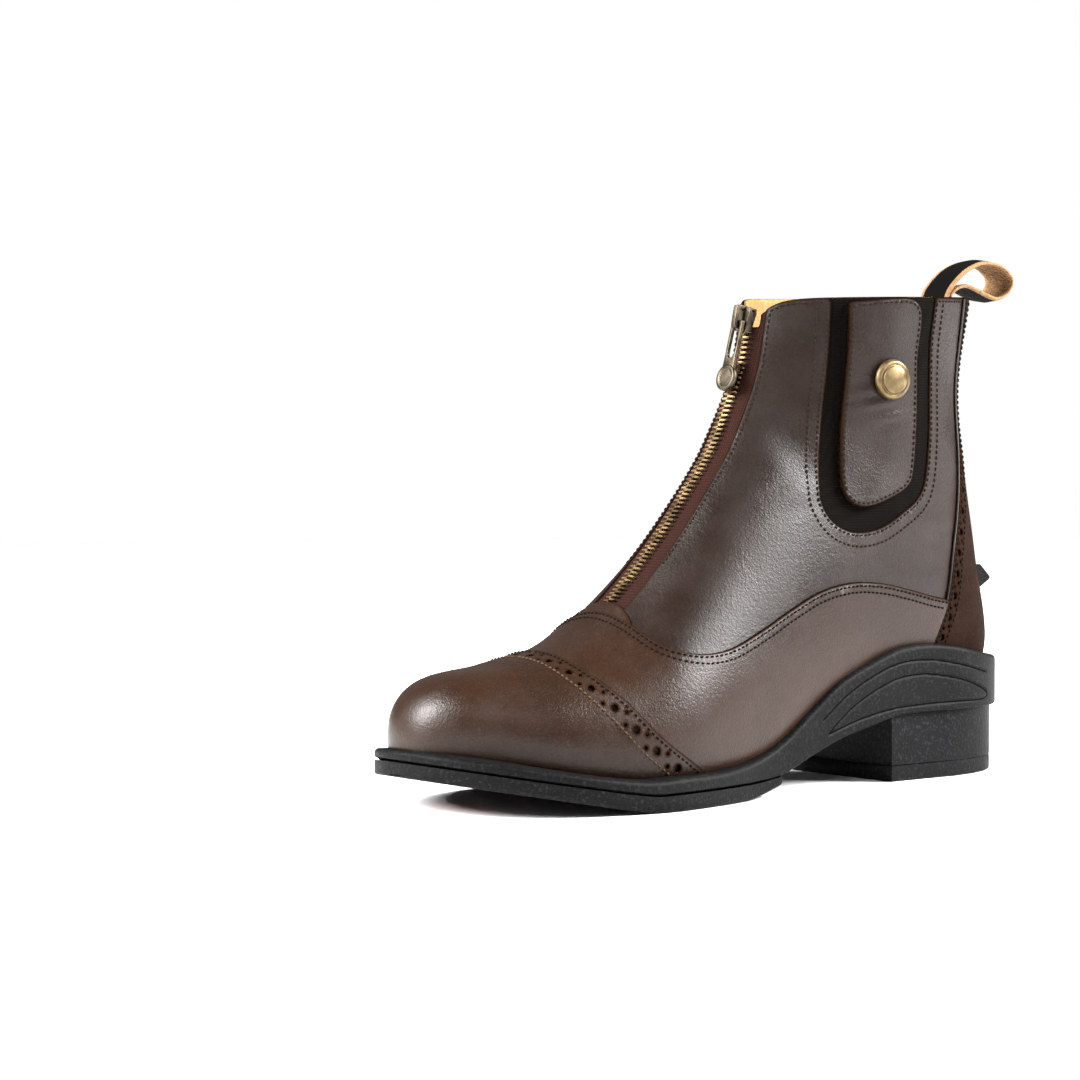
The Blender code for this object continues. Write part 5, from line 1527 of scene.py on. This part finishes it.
def nest_depth(ring):
    """How far in from the sole's outline the leather stands, at the lip's height."""
    depth = []
    for (x, along), z, (dx, dy) in zip(ring, lip_at(ring[:, 1]), -outward_of(ring)):
        start = Vector((x - 3 * MM * dx, ORIGIN_ALONG - along + 3 * MM * dy, z))
        hit = FORM_TREE.ray_cast(start, Vector((dx, -dy, 0)))
        depth.append(min(hit[3], 0.03) - 1.6 * MM if hit[0] is not None else 6 * MM)
    depth = np.maximum(np.array(depth), 1.6 * MM)
    for _ in range(9):
        depth = (np.roll(depth, 1) + depth + np.roll(depth, -1)) / 3
    return depth


def make_sole():
    """The moulded sole unit: bead and welt, heel cup, and the grooves on its sides."""
    steps = np.concatenate([np.linspace(0, 1.42, HEEL_STEPS, endpoint=False),
                            np.linspace(1.42, math.pi, TOE_STEPS)])
    ring = outline_ring(steps=steps)
    along = ring[:, 1]
    lip, under = lip_at(along), under_at(along)
    bead = np.minimum(BEAD, 0.42 * (lip - under))
    fore = np.clip((along - 0.50 * SOLE_LENGTH) / (0.08 * SOLE_LENGTH), 0, 1)
    depth = np.maximum(nest_depth(ring), bead + 0.3 * MM)
    rows = [(depth + 1.2 * MM, lip - 6 * MM), (depth, lip - 0.4 * MM), (depth - 0.3 * MM, lip)]
    for turn in np.linspace(math.pi / 2, 0, 9):
        rows.append((bead * (1 - math.cos(turn)), lip - bead + bead * math.sin(turn)))
    low = under + 0.8 * MM
    for share in np.linspace(0, 1, WALL_LEVELS)[1:]:
        rows.append((0.0, (lip - bead) * (1 - share) + low * share))
    notch = 0.9 * MM * fore
    bottom = under - 0.1 * MM - 0.5 * MM * fore
    rows += [(0.5 * notch + 0.05 * MM, low - 0.3 * MM), (notch + 0.3 * MM, under + 0.2 * MM),
             (notch + 1.0 * MM, bottom), (12 * MM, bottom)]
    grid = np.array([np.column_stack([outline_ring(inset, steps), height]) for inset, height in rows])
    wall = Patch(grid)
    leaf = wall.line(smooth_ring(LEAF_EDGE, CUP_HEIGHT, 90), closed=True)
    arc = wall.line(smooth_points(ARC_LINE, CUP_HEIGHT, 60))
    near = np.minimum(np.abs(leaf), np.abs(arc))
    cut = np.clip(1 - near / GROOVE_HALF, 0, 1)
    cut = cut * cut * (3 - 2 * cut)
    cut[:12 * wall.around] = 0
    points = wall.points - wall.out * (GROOVE_DEEP * cut)[:, None]
    faces = [*wall.quads()]
    last = len(points) - wall.around
    half = wall.around // 2
    faces += [tuple(dict.fromkeys((last + i, last + i + 1, last + (-i - 1) % wall.around,
                                   last + (-i) % wall.around))) for i in range(half)]
    body_piece(closed_object("sole_body", world(points), faces, SOLE_RUBBER, groove=cut, leaf=leaf),
               "sole_unit")


HEEL_EASE = 0.4 * MM
HEEL_RIM = 8 * MM
HEEL_SIDE_POINTS = 120
HEEL_FRONT_POINTS = 30


def make_heel():
    """The heel block with rounded edges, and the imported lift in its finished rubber."""
    steps = np.linspace(0, 1.2, 160)
    ease, deep = HEEL_EASE, HEEL_EASE + HEEL_RIM
    rows = []
    for inset, height in ((deep, raised_by(0, HEEL_LIFT)), (ease, raised_by(0, HEEL_LIFT)),
                          (0, raised_by(0, HEEL_LIFT + ease)), (0, raised_by(1, -ease)),
                          (ease, raised_by(1, 0)), (deep, raised_by(1, 0))):
        ring = outline_ring(HEEL_INSET + inset, np.concatenate([steps, [math.pi]]))
        reach = HEEL_REACH - inset
        side = ring[1:len(steps)]
        side = side[side[:, 1] < reach]
        other = ring[-len(steps) + 1:]
        other = other[other[:, 1] < reach]
        ends = (side[-1][0], reach), (other[0][0], reach)
        outer = resampled([*side, ends[0]], HEEL_SIDE_POINTS)
        inner = resampled([ends[1], *other], HEEL_SIDE_POINTS)
        front = resampled(ends, HEEL_FRONT_POINTS)[1:-1]
        loop = np.vstack([outer, front, inner])
        rows.append(np.column_stack([loop, height(loop[:, 1])]))
    grid = np.array(rows)[::-1]
    body = Patch(grid)
    item = closed_object("heel_stack", world(body.points), body.quads(), HEEL_RUBBER)
    body_piece(sharp_mesh(item, 40), "heel_block")
    lift = frame["nodes"]["heel_lift"]
    mesh = lift.data.copy()
    mesh.transform(lift.matrix_world)
    item = placed("heel_base", mesh)
    mesh.materials.clear()
    mesh.materials.append(HEEL_RUBBER)
    tidy_mesh(item, 1e-6, True)
    body_piece(sharp_mesh(item, 35), "heel_lift")


def raised_by(top, extra):
    """A height along the heel: above the floor, or from the sole's underside."""
    return lambda along: top * under_at(along) + extra


def resampled(points, count):
    """Points at an even pitch along an open line."""
    points = np.asarray(points, float)
    run = run_of(points)
    return at_run(np.linspace(0, run[-1], count), run, points)


PAD_PITCH = 5.6 * MM
PAD_RELIEF = 0.8 * MM


def far_from(place, line):
    """Plain distance of plan or side-view points from a line."""
    best = np.full(len(place), 1.0)
    for a, b in zip(line, line[1:]):
        a, b = np.asarray(a, float), np.asarray(b, float)
        run = b - a
        share = np.clip(((place - a) @ run) / max(run @ run, 1e-12), 0, 1)
        best = np.minimum(best, np.linalg.norm(place - (a + share[:, None] * run), axis=1))
    return best


def make_outsole():
    """The forefoot's tread: stippled border, groove, scaled pads and chevron channels."""
    across = np.linspace(-1, 1, 170)
    start = PLATE_START * SOLE_LENGTH + SCALLOP_DEPTH * np.where(
        np.abs(across) < SCALLOP_REACH, np.cos(math.pi * across * 0.55 * SCALLOP_WAVES)**2, 0)
    ahead = np.sin(np.linspace(0, math.pi / 2, 300))**1.15
    along = start[None, :] + (SOLE_LENGTH - 0.2 * MM - start)[None, :] * ahead[:, None]
    toe = toe_share(along.ravel())
    width = BALL_WIDTH * narrowed(toe)
    outer = width * sole_column("outer", along.ravel()) - TOE_SHIFT * toe
    inner = -width * sole_column("inner", along.ravel()) - TOE_SHIFT * toe
    share = np.tile((across + 1) / 2, len(ahead))
    x = inner + (outer - inner) * share
    place = np.column_stack([x, along.ravel()])
    ring = outline_ring()
    edge = far_from(place, [*ring[::2], ring[0]])
    rear = along.ravel() - np.tile(start, len(ahead))
    edge = np.minimum(edge, rear)
    relief = EDGE_ROUND * (1 - np.sqrt(1 - np.clip(1 - edge / EDGE_ROUND, 0, 1)**2))
    channel = np.clip((edge - BORDER_WIDTH) / (0.5 * MM), 0, 1) * np.clip(
        (BORDER_WIDTH + PAD_GROOVE - edge) / (0.5 * MM), 0, 1)
    inside = edge > BORDER_WIDTH + PAD_GROOVE
    row = np.round(place[:, 1] / (0.87 * PAD_PITCH))
    cell = []
    for shift in (-1, 0, 1):
        at = row + shift
        column = np.round(place[:, 0] / PAD_PITCH - 0.5 * (at % 2)) + 0.5 * (at % 2)
        cell.append(np.hypot(place[:, 0] - column * PAD_PITCH, place[:, 1] - at * 0.87 * PAD_PITCH))
    ring_gap = np.minimum.reduce(cell) - 0.44 * PAD_PITCH
    scales = PAD_RELIEF * np.clip(ring_gap / (0.3 * MM), 0, 1)
    first = PLATE_START * SOLE_LENGTH + SCALLOP_DEPTH + BORDER_WIDTH
    half = CHEVRON_REACH * BALL_WIDTH
    flat = CHEVRON_FLAT * half
    for index in range(CHEVRON_COUNT):
        middle = first + (index + CHEVRON_LEAD) * CHEVRON_PITCH
        gap = far_from(place, [(-half, middle - CHEVRON_SWEEP), (-flat, middle), (flat, middle),
                               (half, middle - CHEVRON_SWEEP)])
        channel = np.maximum(channel, inside * np.clip((CHEVRON_WIDTH / 2 - gap) / (0.5 * MM) + 0.5, 0, 1))
    height = ground_at(along.ravel()) + relief + np.maximum(TREAD_DEPTH * channel, inside * scales)
    points = np.column_stack([place, height])
    tread = Patch(points.reshape(len(ahead), len(across), 3), closed=False)
    faces = [*tread.quads()]
    columns = len(across)
    rim = [*range(columns)] + [i * columns + columns - 1 for i in range(1, len(ahead))]
    rim += [i * columns for i in range(len(ahead) - 1, 0, -1)]
    rows = [points]
    top = len(points)
    for rise in (0.0, 0.7, 1.0):
        wall = points[rim].copy()
        wall[:, 2] += (under_at(wall[:, 1]) - GAP - wall[:, 2]) * rise - (0.25 * MM if rise == 0.7 else 0)
        rows.append(wall)
    count = len(rim)
    faces += ring_faces(3, count, top)
    item = closed_object("outsole_tread", world(np.vstack(rows)), faces, TREAD_RUBBER,
                         groove=np.concatenate([channel, np.zeros(3 * count)]))
    body_piece(sharp_mesh(item, 55), "outsole")


def dress_nodes():
    """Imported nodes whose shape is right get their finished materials."""
    red = ("tread_insert_1", "tread_insert_2", "tread_insert_3", "heel_insert")
    for name in (*red, "spur_rest"):
        for slot in frame["nodes"][name].material_slots:
            slot.material = RED_RUBBER if name in red else SOLE_RUBBER


# Camera at the photo's angle, in degrees, millimetres and metres
AZIMUTH = 50.4
RISE = 2.82
LENS = 124.9
SENSOR = 36.0
SHIFT = (-0.1669, 0.0098)
DISTANCE = 1.432
TARGET = Vector((0, -0.0935, 0.090))
# Square lights: name, place, size and power
LIGHTS = (("key", (-0.5, -1.4, 0.95), 0.8, 115.0), ("side", (0.97, 1.15, 1.16), 0.9, 165.0),
          ("fill", (1.3, -1.0, 1.4), 0.9, 10.0))
FLOOR_WHITE = (0.94, 0.94, 0.94)
# Brightness of the surroundings as the boot sees them, at the horizon and higher up
SKY_LOW, SKY_HIGH, SKY_TOP = 0.25, 0.18, 0.7


def make_floor():
    """A pale matt floor."""
    bpy.ops.mesh.primitive_circle_add(vertices=128, radius=2.0, fill_type="NGON")
    floor = bpy.context.object
    floor.name = "floor"
    shade = Shade("floor", FLOOR_WHITE, 0.9)
    shade.set("Specular IOR Level", 0.0)
    floor.data.materials.append(shade.material)


def make_sky():
    """White surroundings for the camera, dimmer ones for all other rays."""
    sky = bpy.data.worlds.new("studio")
    sky.use_nodes = True
    tree = sky.node_tree
    spot, parts, band, seen, level = (
        tree.nodes.new(f"ShaderNode{kind}")
        for kind in ("TexCoord", "SeparateXYZ", "MapRange", "LightPath", "Math"))
    level.operation = "MAXIMUM"
    for key, value in (("From Min", 0.0), ("From Max", SKY_TOP), ("To Min", SKY_LOW),
                       ("To Max", SKY_HIGH)):
        band.inputs[key].default_value = value
    background = tree.nodes["Background"]
    background.inputs["Color"].default_value = (1, 1, 1, 1)
    for source, target in (
            (spot.outputs["Generated"], parts.inputs["Vector"]),
            (parts.outputs["Z"], band.inputs["Value"]),
            (seen.outputs["Is Camera Ray"], level.inputs[0]),
            (band.outputs["Result"], level.inputs[1]),
            (level.outputs["Value"], background.inputs["Strength"])):
        tree.links.new(source, target)
    bpy.context.scene.world = sky


def make_stage():
    """Soft studio lights and the camera."""
    for name, place, size, power in LIGHTS:
        light = bpy.data.lights.new(name, "AREA")
        light.shape = "SQUARE"
        light.size = size
        light.energy = power
        item = placed(name, light)
        item.location = place
        item.rotation_euler = (Vector(place) - TARGET).to_track_quat("Z", "Y").to_euler()
    azimuth, rise = math.radians(AZIMUTH), math.radians(RISE)
    away = Vector((math.sin(azimuth) * math.cos(rise), -math.cos(azimuth) * math.cos(rise),
                   math.sin(rise)))
    data = bpy.data.cameras.new("camera")
    data.lens = LENS
    data.sensor_width = SENSOR
    data.shift_x, data.shift_y = SHIFT
    data.clip_start = 0.05
    camera = placed("camera", data)
    camera.location = TARGET + away * DISTANCE
    camera.rotation_euler = away.to_track_quat("Z", "Y").to_euler()
    bpy.context.scene.camera = camera
    bpy.context.scene.view_settings.view_transform = "Standard"


for make in (make_upper, make_panels, make_gores, make_tape, make_teeth, make_slider, make_pull,
             make_button, make_loop, make_insole, make_stay, make_stitches, make_sole, make_heel,
             make_outsole, dress_nodes, make_floor, make_sky, make_stage):
    make()
